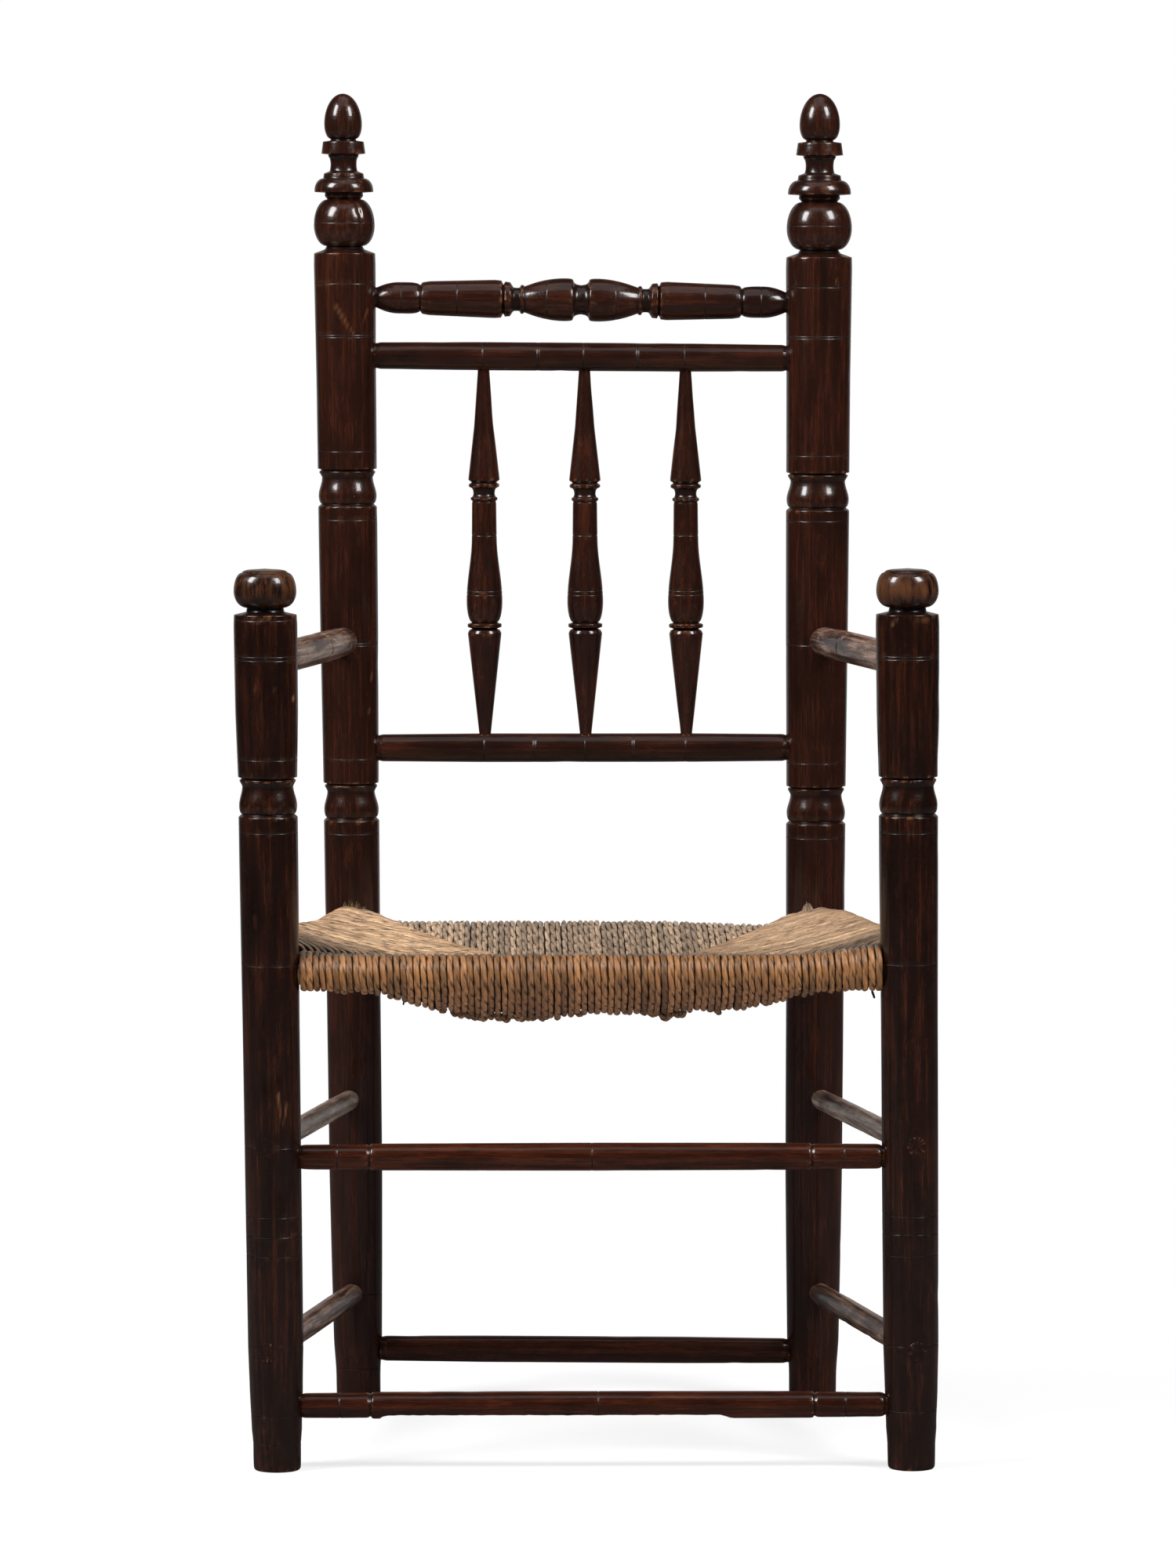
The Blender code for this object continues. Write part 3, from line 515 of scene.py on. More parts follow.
FINIAL = (
    ("taper", 5, 0.64), ("taper", 4, 0.58), ("ease", 26, 0.985), ("roll", 32, 0.535),
    ("taper", 4, 0.625), ("taper", 4, 0.61), ("taper", 1, 0.95), ("taper", 2, 0.95),
    ("roll", 15, 0.66), ("taper", 6, 0.64), ("taper", 2.5, 0.47), ("ease", 9, 0.42),
    ("roll", 9, 0.485), ("taper", 3, 0.49), ("taper", 1, 0.71), ("taper", 15, 0.66),
    ("taper", 1.5, 0.41), ("taper", 2, 0.41), ("ease", 18, 0.61), ("roll", 38, 0.0),
)


def rear_line(radius, drop):
    """Outline of a rear post of that radius, its rings and shoulder lowered by the drop."""
    line = Turning(radius * FOOT_EDGE)
    lower, upper, shoulder = REAR_RINGS[0] - drop, REAR_RINGS[1] - drop, REAR_SHOULDER - drop
    line.cuts(REAR_FOOT, lower - RING_GROUP_LENGTH / 2, radius)
    line.cuts(RING_GROUP, RING_GROUP_LENGTH, radius * REAR_FOOT[-1][2])
    line.cuts(REAR_WAIST, upper - lower - RING_GROUP_LENGTH, radius)
    line.cuts(RING_GROUP, RING_GROUP_LENGTH, radius * REAR_WAIST[-1][2])
    line.cuts(REAR_NECK, shoulder - upper - RING_GROUP_LENGTH / 2, radius)
    line.cuts(FINIAL, FINIAL_HEIGHT + drop, radius)
    return line


# On the left two scratches below the shoulder, a gouge in the ball, and two chips between the two
# groups of rings. On the right a scar over the upper scribed line.
LEFT_REAR_MARKS = (
    (-17, 0.9620, 15, 0.9385, 0.0012, 0.5, 0.00005), (47, 0.9585, 36, 0.9495, 0.0010, 0.45, 0.00005),
    (33, 1.0500, 37, 1.0310, 0.0017, 0.15, 0.0011), (30, 1.0440, 40, 1.0420, 0.0014, 0.2, 0.0008),
    (53, 0.6420, 49, 0.6370, 0.0014, 1.0, 0.0003), (43, 0.6110, 41, 0.6080, 0.0012, 0.8, 0.0002),
)
RIGHT_REAR_MARKS = ((30, 0.9850, 36, 0.9745, 0.0013, 0.6, 0.0003),)
LEFT_REAR_SCRIBES = (0.0340, 0.1001, 0.5038, 0.5693, 0.6681, 0.6702, 0.7772, 0.8366, 0.9354, 0.9375,
                     0.9818, 1.0343)
RIGHT_REAR_SCRIBES = (0.4997, 0.5652, 0.6681, 0.7759, 0.8325, 0.9341, 0.9361, 0.9784, 1.0315)
varnished = wood("old_dark_varnish", paint(15, 8, 6), paint(36, 16, 10), paint(72, 34, 18),
                 contrast=0.16, wear=0.25, gloss=0.16)
for name, radius, drop, scribes, seed, marks in (
        ("rear_post_left", LEFT_REAR_RADIUS, 0, LEFT_REAR_SCRIBES, 21, LEFT_REAR_MARKS),
        ("rear_post_right", RIGHT_REAR_RADIUS, RIGHT_DROP, RIGHT_REAR_SCRIBES, 22, RIGHT_REAR_MARKS)):
    add_post(name, rear_line(radius, drop).worn(scribes), seed, varnished, marks)

# Crest rail
# A turned rail tenoned between the rear posts: a cove in the middle, and on each side of it a vase,
# a cove between two rings, a barrel and a knob, with a scribed line round each fat part.
CREST_RADIUS = 0.0187
TENON_RADIUS = 0.0080
SEATED, CREST_SEATED = 0.0026, 0.0040
CREST_WAIST = 0.68
CREST_SCRIBES = (-0.1562, -0.1077, -0.0304, 0.0304, 0.1077, 0.1562)
CREST_HALF = (
    ("taper", 2, 0.70), ("roll", 8, 0.93), ("taper", 1, 0.955), ("ease", 9, 1.0), ("bow", 51, 0.61),
    ("taper", 1.5, 0.68), ("taper", 3, 0.68), ("taper", 1.5, 0.565), ("ease", 4, 0.545),
    ("roll", 4, 0.57), ("taper", 4, 0.80), ("taper", 6.5, 0.825), ("taper", 2, 0.67),
    ("taper", 2.5, 0.87), ("taper", 8, 0.895), ("taper", 82, 0.795), ("taper", 9, 0.74),
    ("taper", 3, 0.60), ("ease", 14, 0.735), ("taper", 12, 0.735), ("bow", 28, 0.48),
)


class Rail:
    """Where a rail's node lies: its line from tenon tip to tenon tip, and where its body begins
    and ends, which is where its corners first stand further off that line than a tenon does."""

    def __init__(self, node, tenon=TENON_RADIUS):
        self.node = node
        self.tenon = tenon
        self.start, self.end = ends_of(node)
        self.length = np.linalg.norm(self.end - self.start)
        self.forward = (self.end - self.start) / self.length
        level = np.cross(Z_AXIS, self.forward)
        if np.linalg.norm(level) < 0.1:
            level = np.cross(np.cross(self.forward, X_AXIS), self.forward)
        self.level = level / np.linalg.norm(level)
        self.up = np.cross(self.forward, self.level)
        corners = corners_of(node) - self.start
        place = corners @ self.forward
        off = np.linalg.norm(corners - place[:, None] * self.forward, axis=1)
        body = place[off > 1.005 * tenon]
        self.shoulders = (body.min(), body.max())
        self.middle = (body.min() + body.max()) / 2

    def line(self, rows, radius, end_share, seated=SEATED):
        """Outline of the rail: a tenon, a body let a little way into each post, and a tenon."""
        low, high = self.shoulders
        line = Turning(self.tenon)
        line.cut("taper", low - seated, self.tenon)
        line.cut("taper", 0, radius * end_share)
        line.cut("taper", seated, radius * end_share)
        line.cuts(rows, high - low, radius)
        line.cut("taper", seated, radius * rows[-1][2])
        line.cut("taper", 0, self.tenon)
        line.cut("taper", self.length - high - seated, self.tenon)
        line.cut("taper", 0, 0)
        return line

    def add(self, outline, finish, slot, sides, seed, dents, marks=(), flaw=None):
        """A piece turned to that outline about the rail's line, in place of its node."""
        mesh = turned_mesh(self.node + "_turned", self.start, self.forward, self.level, self.up,
                           outline, sides, seed, dents, marks, flaw)
        return add_piece(self.node + "_turned", mesh, finish, slot, self.node)


def both_ways(rows, waist):
    """A table of cuts for half a rail, run backwards to its middle and forwards again. The waist is
    the share of the radius that the middle has."""
    mirrored = {"ease": "roll", "roll": "ease", "bow": "rise"}
    shares = [waist] + [row[2] for row in rows]
    back = [(mirrored.get(kind, kind), share, before)
            for (kind, share, _), before in zip(rows, shares)]
    return tuple(reversed(back)) + rows


crest = Rail("crest_rail")
crest_line = crest.line(both_ways(CREST_HALF, CREST_WAIST), CREST_RADIUS, CREST_HALF[-1][2],
                        CREST_SEATED)
nick = (-82, crest.middle + 0.0088, -82, crest.middle + 0.0125, 0.0010, 1.0, 0.0003)
crest.add(crest_line.worn([crest.middle + offset for offset in CREST_SCRIBES]), varnished,
          "varnished_wood", sides=80, seed=31, dents=40, marks=(nick,))

# Spindle rails and spindles
# Two plain round rails run between the rear posts. Three spindles stand between them, each with
# a small tenon in a bored hole: a cone, a ring and cove, a vase, a cup, a ring and a long cone.
SPINDLE_RADIUS = 0.0158
SPINDLE_TENON = 0.0045
SPINDLE_END = 0.325
SPINDLE_SEATED = 0.0012
SPINDLE_SCRIBES = (0.7631, 0.7152, 0.7117)
UPPER_RAIL_RADIUS, LOWER_RAIL_RADIUS = 0.0125, 0.0127
UPPER_RAIL_SCRIBES = (-0.0858, -0.0384, -0.0366, 0.0019, 0.0478, 0.0496, 0.0896)
LOWER_RAIL_SCRIBES = (-0.0858, -0.0429, -0.0411, 0.0019, 0.0432, 0.0450, 0.0896)
PLAIN_END = 0.87
PLAIN = (
    ("taper", 2, 0.93), ("taper", 60, 0.99), ("taper", 120, 0.99), ("taper", 60, 0.93),
    ("taper", 2, 0.87),
)
SPINDLE = (
    ("taper", 126, 0.93), ("taper", 4, 0.86), ("taper", 2, 0.68), ("taper", 2, 0.94),
    ("taper", 4, 0.94), ("taper", 2, 0.68), ("ease", 26, 0.99), ("ogee", 82, 0.69),
    ("taper", 42, 0.67), ("taper", 2.5, 0.64), ("taper", 1.5, 0.74), ("taper", 3, 0.74),
    ("ease", 5, 0.59), ("roll", 7, 0.72), ("taper", 1.5, 0.845), ("taper", 3, 0.845),
    ("taper", 2.5, 0.68), ("taper", 3, 0.87), ("taper", 68, 0.535), ("taper", 69, 0.32),
)
upper_rail = Rail("spindle_rail_upper")
lower_rail = Rail("spindle_rail_lower")
for rail, radius, offsets, seed in (
        (upper_rail, UPPER_RAIL_RADIUS, UPPER_RAIL_SCRIBES, 41),
        (lower_rail, LOWER_RAIL_RADIUS, LOWER_RAIL_SCRIBES, 42)):
    line = rail.line(PLAIN, radius, PLAIN_END)
    rail.add(line.worn([rail.middle + offset for offset in offsets]), varnished, "varnished_wood",
             sides=48, seed=seed, dents=30)
for number, word in enumerate(("left", "centre", "right")):
    spindle = Rail("back_spindle_" + word, SPINDLE_TENON)
    line = spindle.line(SPINDLE, SPINDLE_RADIUS, SPINDLE_END, SPINDLE_SEATED)
    scribes = [height - spindle.start[2] for height in SPINDLE_SCRIBES]
    spindle.add(line.worn(scribes, scribed_depth=0.0004, rounding=0.0003), varnished,
                "varnished_wood", sides=56, seed=51 + number, dents=14)

# Arms
# Plain round sticks between the posts, fullest in the middle. Forearms have rubbed the varnish off
# their tops, down to a dull grey brown, whose paleness is also a painted reflection of the bright
# backdrop on the tops.
ARM_RADIUS = 0.0135
ARM_SCRIBES = (-0.1200, -0.1185, -0.0680, 0.0360, 0.0378, 0.0396, 0.1110, 0.1128, 0.1146)
# Its pale grey tones are worn wood and also a painted reflection on the tops
worn_down_and_sheen = wood("worn_varnish_and_sheen", paint(30, 18, 14), paint(86, 61, 50), paint(156, 130, 112),
                 contrast=0.075, wear=0.85, gloss=0.30)
for number, side in enumerate(("left", "right")):
    arm = Rail("arm_" + side)
    line = arm.line(PLAIN, ARM_RADIUS, PLAIN_END)
    scribes = [arm.middle + offset for offset in ARM_SCRIBES]
    top_wear = (180, arm.middle - 0.11, 180, arm.middle + 0.11, 0.0090, 0.30, 0.0)
    arm.add(line.worn(scribes, scribed_depth=0.0005), worn_down_and_sheen, "worn_wood", sides=48,
            seed=61 + number, dents=30, marks=(top_wear,))

# Stretchers
# Round sticks that brace the legs. Those at the sides pass right through the front posts and are
# cut off flush with them. The two in front step down near their ends, and the lower one has lost a
# long splinter from its underside.
STRETCHER_RADIUS, REAR_STRETCHER_RADIUS = 0.0117, 0.0118
UPPER_SIDE_RADIUS, LOWER_SIDE_RADIUS = 0.0093, 0.0102
UPPER_SCRIBES, LOWER_SCRIBES = (-0.2103, 0.001, 0.2103), (-0.2103, 0.0047, 0.2103)
STEPPED_END = 0.76
STEPPED = (
    ("ease", 8, 0.89), ("taper", 74, 0.91), ("roll", 5, 0.85), ("taper", 2.5, 0.79),
    ("ease", 4, 0.96), ("taper", 278, 1.0), ("taper", 278, 0.96), ("roll", 4, 0.79),
    ("taper", 2.5, 0.85), ("ease", 5, 0.91), ("taper", 74, 0.89), ("roll", 8, 0.76),
)
# The splinter's ends along the stretcher, from its middle, how far each end slopes, and its depth
SPLINTER_ENDS, SPLINTER_SLOPES, SPLINTER_DEPTH = (-0.176, 0.117), (0.004, 0.010), 0.0044
# A front post's radius at three heights of the side stretchers, as shares of its full radius
POST_HEIGHTS, POST_SHARES = (0.1, 0.27, 0.40), (0.875, 0.887, 0.895)
TENON_PROUD = 0.00012
reddish = wood("reddish_varnish", paint(15, 7, 4), paint(44, 17, 8), paint(80, 36, 15),
               contrast=0.12, wear=0.25, gloss=0.17)
upper_front = Rail("front_stretcher_upper")
line = upper_front.line(STEPPED, STRETCHER_RADIUS, STEPPED_END)
scribes = [upper_front.middle + offset for offset in UPPER_SCRIBES]
upper_front.add(line.worn(scribes, scribed_depth=0.0003), reddish, "varnished_wood", sides=48,
                seed=71, dents=30)
rear_stretcher = Rail("rear_stretcher")
line = rear_stretcher.line(PLAIN, REAR_STRETCHER_RADIUS, PLAIN_END)
rear_stretcher.add(line.worn(), varnished, "varnished_wood", sides=48, seed=72, dents=30)
lower_front = Rail("front_stretcher_lower")
line = lower_front.line(STEPPED, STRETCHER_RADIUS, STEPPED_END)


def splinter(along, aside, above, rough):
    """Lifts what hangs below a rough level, which falls away past both ends of the splinter."""
    offset = along - lower_front.middle
    inside = (np.clip((offset - SPLINTER_ENDS[0]) / SPLINTER_SLOPES[0], 0, 1)
              * np.clip((SPLINTER_ENDS[1] - offset) / SPLINTER_SLOPES[1], 0, 1))
    level = -STRETCHER_RADIUS + SPLINTER_DEPTH * inside + 0.0003 * rough * inside
    return along, np.maximum(above, level), 0.8 * (above < level)


scribes = [lower_front.middle + offset for offset in LOWER_SCRIBES]
lower_front.add(line.worn(scribes, scribed_depth=0.0003), reddish, "varnished_wood", sides=56,
                seed=73, dents=30, flaw=splinter)
# Worn wood, paler still: a painted reflection on the tops, and painted light where they lie in the seat's
# shade
rubbed_and_sheen = wood("rubbed_varnish_and_sheen", paint(40, 27, 22), paint(122, 102, 90), paint(190, 172, 158),
              contrast=0.08, wear=0.75, gloss=0.30)
for number, (side, level_word) in enumerate(
        (side, word) for side in ("left", "right") for word in ("upper", "lower")):
    stretcher = Rail("side_stretcher_" + level_word + "_" + side)
    foot, top = ends_of("front_post_" + side)
    post = foot + (top - foot) * stretcher.start[2] / top[2]
    to_post = (post - stretcher.start) @ stretcher.forward
    post_radius = np.interp(stretcher.start[2], POST_HEIGHTS, POST_SHARES) * FRONT_POST_RADIUS

    def flush(along, aside, above, rough, to_post=to_post, post_radius=post_radius):
        """Carries the tenon's end out to the post's round face, an eighth of a millimetre proud."""
        face = to_post - np.sqrt(post_radius ** 2 - aside ** 2) - TENON_PROUD
        return np.where(along < 0.0006, face, along), above, 0.0 * along

    radius, finish = {"upper": (UPPER_SIDE_RADIUS, rubbed_and_sheen),
                      "lower": (LOWER_SIDE_RADIUS, worn_down_and_sheen)}[level_word]
    line = stretcher.line(PLAIN, radius, PLAIN_END)
    top_wear = (180, stretcher.middle - 0.13, 180, stretcher.middle + 0.13, 0.0070, 0.26, 0.0)
    piece = stretcher.add(line.worn(), finish, "worn_wood", sides=40, seed=81 + number, dents=24,
                          marks=(top_wear,), flaw=flush)
    piece.data.materials.append(dark_varnish)
    middles = np.empty(3 * len(piece.data.polygons), dtype=np.float32)
    piece.data.polygons.foreach_get("center", middles)
    on_face = (middles.reshape(-1, 3) - post) @ stretcher.forward < -0.9 * post_radius
    piece.data.polygons.foreach_set("material_index", on_face.astype(np.int32))

# Seat rails
# Four plain rails of unfinished wood, wholly hidden in the rush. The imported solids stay, under
# a finish of bare wood whose fibres run along each rail.
for word, scales in (("front", (14, 420, 420)), ("rear", (14, 420, 420)),
                     ("left", (420, 14, 420)), ("right", (420, 14, 420))):
    finish, dab, shader = finish_of("bare_rail_" + word)
    spot = dab.node("ShaderNodeTexCoord", {}, {}, "Object")
    fibres = spot.cloud(scales, 5, 0.65)
    blotches = spot.cloud((40, 40, 40), 3)
    tone = fibres * 0.75 + blotches * 0.25
    tone.ramp((0.35, paint(92, 66, 44)), (0.52, paint(140, 106, 74)),
              (0.68, paint(170, 134, 98))).feed(shader, "Base Color")
    (0.6 + fibres * 0.25).feed(shader, "Roughness")
    fibres.bump(shader, 0.4, 0.0004)
    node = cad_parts["seat_rail_" + word]
    for number in range(max(len(node.data.materials), 1)):
        if node.data.materials:
            node.data.materials[number] = finish
        else:
            node.data.materials.append(finish)

# Rush seat
# Rush leaves twisted into cord, wound over and under the four rails in turn, so that four panels
# meet in mitred seams and along a short ridge. It is stuffed, it sags in the middle, and underneath
# it bellies down. The front wraps are burnished gold, the rear ones grey, the sides rubbed pale.
WRAP_RADIUS = 0.0155
RIDGE_TOP = 0.4118
RIDGE_ENDS = (-0.0580, 0.0770)
SEAM_STARTS = (0.022, 0.030)    # how far in from the side rails the seams set out at the rear
SEAM_AT_FRONT = 0.15            # the share of that by which they set out at the front
SAGS = (1.15, 1.05, 1.75, 1.6)  # the power that each panel falls by
RAIL_EASE = 0.03                # how softly the top leaves a rail, as a part of the way
TOP_FALLOFF, BELLY_FALLOFF = 0.045, 0.12
# Where the top is uneven: a height, where it begins along x, how soon it is full, and its power
FRONT_CLIMB = (0.0080, 0.165, 0.075, 1.5)
REAR_FALL = (0.0035, 0.040, 0.110, 2)
BELLY_STARTS = (0.030, 0.034, 0.060, 0.060)
BELLY_DEPTH, BELLY_REACH, BELLY_POWER = 0.0355, 0.105, 2.4
SIDE_HASTE = 1.4                # how much sooner the belly deepens along the side rails
# How deep the belly hangs under the front panel, from the left to the right
BELLY_AT = ((-0.240, 0.001), (-0.205, 0.006), (-0.170, 0.012), (-0.145, 0.024), (-0.105, 0.034),
            (-0.060, 0.037), (-0.025, 0.036), (0.010, 0.031), (0.045, 0.031), (0.066, 0.035),
            (0.088, 0.031), (0.125, 0.029), (0.158, 0.019), (0.186, 0.012), (0.215, 0.006), (0.245, 0.003))
# How much higher the wraps of the left and of the right rail lie, from the front to the rear
SIDE_RISES = (((-0.171, 0.0055), (-0.080, 0.0048), (-0.040, 0.0015), (0.040, -0.0035), (0.130, -0.0010)),
              ((-0.171, 0.0030), (-0.080, 0.0024), (-0.040, 0.0006), (0.065, 0.0020), (0.130, -0.0025)))
CORD_THICKNESS = 0.0026
posts = {word: ends_of(word) for word in (
    "front_post_left", "front_post_right", "rear_post_left", "rear_post_right")}
rails = {word: ends_of("seat_rail_" + word) for word in ("front", "rear", "left", "right")}
height_of = {word: (low[2] + high[2]) / 2 for word, (low, high) in rails.items()}


def post_at(word, height):
    """Where a post's axis stands at a height."""
    foot, top = posts[word]
    return foot + (top - foot) * height / top[2]


front_y, rear_y = post_at("front_post_left", 0)[1], post_at("rear_post_left", 0)[1]
middle_y = (front_y + rear_y) / 2
side_ends = [(post_at("front_post_" + side, height_of[side])[0],
              post_at("rear_post_" + side, height_of[side])[0]) for side in ("left", "right")]


def side_x(number, y):
    """Where the left (0) or right (1) seat rail's axis runs at y: a straight line between posts."""
    front_x, rear_x = side_ends[number]
    return front_x + (rear_x - front_x) * (y - front_y) / (rear_y - front_y)


# How far it is to the ridge from the front, rear, left and right rail
reaches = (middle_y - front_y, rear_y - middle_y,
           *(abs(RIDGE_ENDS[number] - side_x(number, middle_y)) for number in (0, 1)))


def insets_of(x, y):
    """How far in from the front, rear, left and right rail each spot lies."""
    return np.stack((y - front_y + 0 * x, rear_y - y + 0 * x, x - side_x(0, y), side_x(1, y) - x))


def seam_parts(insets):
    """Part of the way from each rail to the ridge. The side rails' ways set out further in, most of
    all towards the rear. A spot belongs to the panel whose part is least."""
    to_rear = np.clip(insets[0] / (insets[0] + insets[1]), 0, 1)
    share = SEAM_AT_FRONT + (1 - SEAM_AT_FRONT) * to_rear
    starts = [share * start for start in (0, 0, *SEAM_STARTS)]
    return np.stack([(inset - start) / (reach - start)
                     for inset, start, reach in zip(insets, starts, reaches)])


SEARCH_REACH, SEARCH_STEPS = 0.2, 801


def way_in(number, origins, towards):
    """How far in from its rail each cord of a panel runs before the spot belongs to another one."""
    step = np.linspace(0, SEARCH_REACH, SEARCH_STEPS)
    x = origins[:, :1] - towards[0] * step
    y = origins[:, 1:2] - towards[1] * step
    parts = seam_parts(insets_of(x, y))
    own = (parts[number] <= parts.min(axis=0)) & (parts[number] < 1)
    return np.logical_and.accumulate(own, axis=1).sum(axis=1) * step[1]


rail_heights = np.array([height_of[word] for word in ("front", "rear", "left", "right")])


def blended(insets, heights, falloff):
    """Mean of the four panels' heights, weighed by a falling exponential of how much further from
    its own rail a spot lies than from the nearest one."""
    parts = seam_parts(insets)
    weights = np.exp(-(parts - parts.min(axis=0)) / falloff)
    return (weights * heights).sum(axis=0) / weights.sum(axis=0)


def grown(x, height, begins, way, power):
    """The height times a power of the part of the way gone from where it begins."""
    return height * np.clip((x - begins) / way, 0, 1) ** power


def top_at(x, y):
    """Height of the seat's top: each panel falls from its wrapped rail to the ridge as a power of
    the part of the way left. The front wraps climb on one another next to the right post, the rear
    ones lie a little lower there, and the side ones rise and sink along their rails."""
    insets = insets_of(x, y)
    side_rises = [np.interp(y, *zip(*rows)) for rows in SIDE_RISES]
    rises = (grown(x, *FRONT_CLIMB), -grown(x, *REAR_FALL), *side_rises)
    highs = [high + WRAP_RADIUS + rise for high, rise in zip(rail_heights, rises)]
    heights = []
    for high, inset, far, sag in zip(highs, insets, reaches, SAGS):
        part = np.clip(np.sqrt(np.maximum(inset / far, 0) ** 2 + RAIL_EASE ** 2) - RAIL_EASE, 0, 1)
        heights.append(RIDGE_TOP + (high - RIDGE_TOP) * (1 - part) ** sag)
    return blended(insets, np.stack(heights), TOP_FALLOFF)


def hang(number, x, beside, inset, wrap):
    """Height of a cord under the seat: it leaves its rail's underside at the slope at which the
    belly starts, and sinks towards the belly's depth as a falling exponential of the way gone. The
    belly is shallow beside the posts. Under the front panel its depth is read off by x, and under
    the others it deepens as a bell curve with the way from the nearest post."""
    if number == 0:
        depth = np.interp(x, *zip(*BELLY_AT))
    else:
        depth = BELLY_DEPTH * (1 - np.exp(-(np.maximum(beside, 0) / BELLY_REACH) ** BELLY_POWER))
    slope = np.arctan(depth / BELLY_STARTS[number])
    gone = inset + wrap * np.sin(slope)
    sunk = depth * (1 - np.exp(-np.maximum(gone, 0) / BELLY_STARTS[number]))
    return rail_heights[number] - wrap * np.cos(slope) - sunk, slope


def belly_at(x, y, wrap=WRAP_RADIUS):
    """Height of the seat's underside: the four panels' hanging heights, blended at the seams."""
    insets = insets_of(x, y)
    beside_x = np.minimum(insets[2], insets[3])
    beside_y = np.minimum(insets[0], insets[1])
    besides = (beside_x, beside_x, beside_y * SIDE_HASTE, beside_y * SIDE_HASTE)
    heights = [hang(number, x, beside, inset, wrap)[0]
               for number, (beside, inset) in enumerate(zip(besides, insets))]
    return blended(insets, np.stack(heights), BELLY_FALLOFF)


def smooth_noise(chance, rows, columns, knots):
    """Rows of noise from -1 to 1: random knots joined by cosine steps along each row."""
    values = chance.uniform(-1, 1, (rows, knots + 2))
    place = np.linspace(0, knots, columns)
    whole = place.astype(int)
    share = (1 - np.cos((place - whole) * math.pi)) / 2
    return values[:, whole] * (1 - share) + values[:, whole + 1] * share


def tinted(way, stops):
    """Colours along a way, straight between stops of a place and a colour."""
    places = [place for place, colour in stops]
    channels = [np.interp(way, places, [colour[number] for place, colour in stops]) for number in range(4)]
    return np.stack(channels, axis=-1)


def cord_mesh(name, middle, outward, aside, width, thick, around, values):
    """Tubes round rows of middle lines, one tube for each row.

    A corner is the middle plus outward times the cosine of its angle times the thickness, plus
    aside times the sine times the width. Each tube's two ends are closed by one face.
    """
    cords, steps = middle.shape[:2]
    sides = len(around)
    lift = np.cos(around) * np.where(np.cos(around) < 0, 0.7, 1.0)
    grid = (middle[:, :, None] + outward[:, :, None] * (lift * thick)[..., None]
            + aside[:, :, None] * (np.sin(around) * width)[..., None])
    corner = np.arange(cords * steps * sides).reshape(cords, steps, sides)
    ahead = np.roll(corner, -1, axis=2)
    quads = np.stack((corner[:, :-1], corner[:, 1:], ahead[:, 1:], ahead[:, :-1]), axis=-1)
    ends = [corner[:, 0], corner[:, -1, ::-1]]
    return mesh_of(name, grid.reshape(-1, 3), [quads.reshape(-1, 4), *ends], values)


AROUND = np.radians((0, 30, 60, 90, 135, 180, 225, 270, 300, 330))
TOP_STEPS, ROLL_STEPS, UNDER_STEPS = 70, 18, 26
SEAM_LAP, LEAST_WAY_IN = 0.0012, 0.012
# How a cord strays from its line: it dips at both ends, is lumpy, hangs slack and leans underneath,
# and sways, there the most
DIP, DIP_REACH = 0.0040, 0.0022
LUMP, SLACK, SLACKS, LEAN = 0.00025, 0.0014, (-0.0018, 0.0012), 0.0014
SWAY, RAGGED_SWAY, SWAYS = 0.00022, 0.0011, (-0.0003, 0.0003)
# Between which shares of their mean the cords' thickness, tone and width lie
THINS, SHADES, WIDTHS = (0.85, 1.08), (0.66, 1.22), (0.90, 1.10)


def lay_cords(name, middle, sideways, half_width, thick, twist, lobe, tint, gold, chance, *nodes):
    """Rows of twisted cord along their middle lines, as one piece of the seat.

    A cord's width and thickness swell and shrink as the cosine of twice the angle round it less
    its twist, so two strands show. Its fibres run along the strands.
    """
    cords, steps = middle.shape[:2]
    tangent = np.gradient(middle, axis=1)
    tangent = tangent / np.linalg.norm(tangent, axis=-1, keepdims=True)
    outward = np.cross(tangent, sideways)
    outward = outward / np.linalg.norm(outward, axis=-1, keepdims=True)
    aside = np.cross(outward, tangent)
    moves = np.linalg.norm(np.diff(middle, axis=1), axis=-1)
    length = np.concatenate((np.zeros((cords, 1)), np.cumsum(moves, axis=1)), axis=1)
    phase = length / (twist * chance.uniform(0.85, 1.2, (cords, 1))) + chance.uniform(0, 1, (cords, 1))
    turns = phase[..., None] - AROUND / math.tau
    lobes = 1 + lobe * np.cos(2 * math.tau * turns)
    spread = lambda rows: np.repeat(rows.reshape(cords * steps, -1), len(AROUND), axis=0)
    crown = np.broadcast_to(np.cos(AROUND), turns.shape)
    fibre = np.stack((length[..., None] + 0 * turns, turns * 0.012,
                      0 * turns + chance.uniform(0, 9, (cords, 1, 1))), axis=-1)
    values = {"tint": spread(tint), "crown": crown.copy(), "fibre": fibre.reshape(-1, 3),
              "turns": turns.copy(), "gold": spread(gold)}
    mesh = cord_mesh(name, middle, outward, aside, half_width[..., None] * (0.3 + 0.7 * lobes),
                     thick[..., None] * lobes, AROUND, values)
    return add_piece(name, mesh, rush, "rush", *nodes)


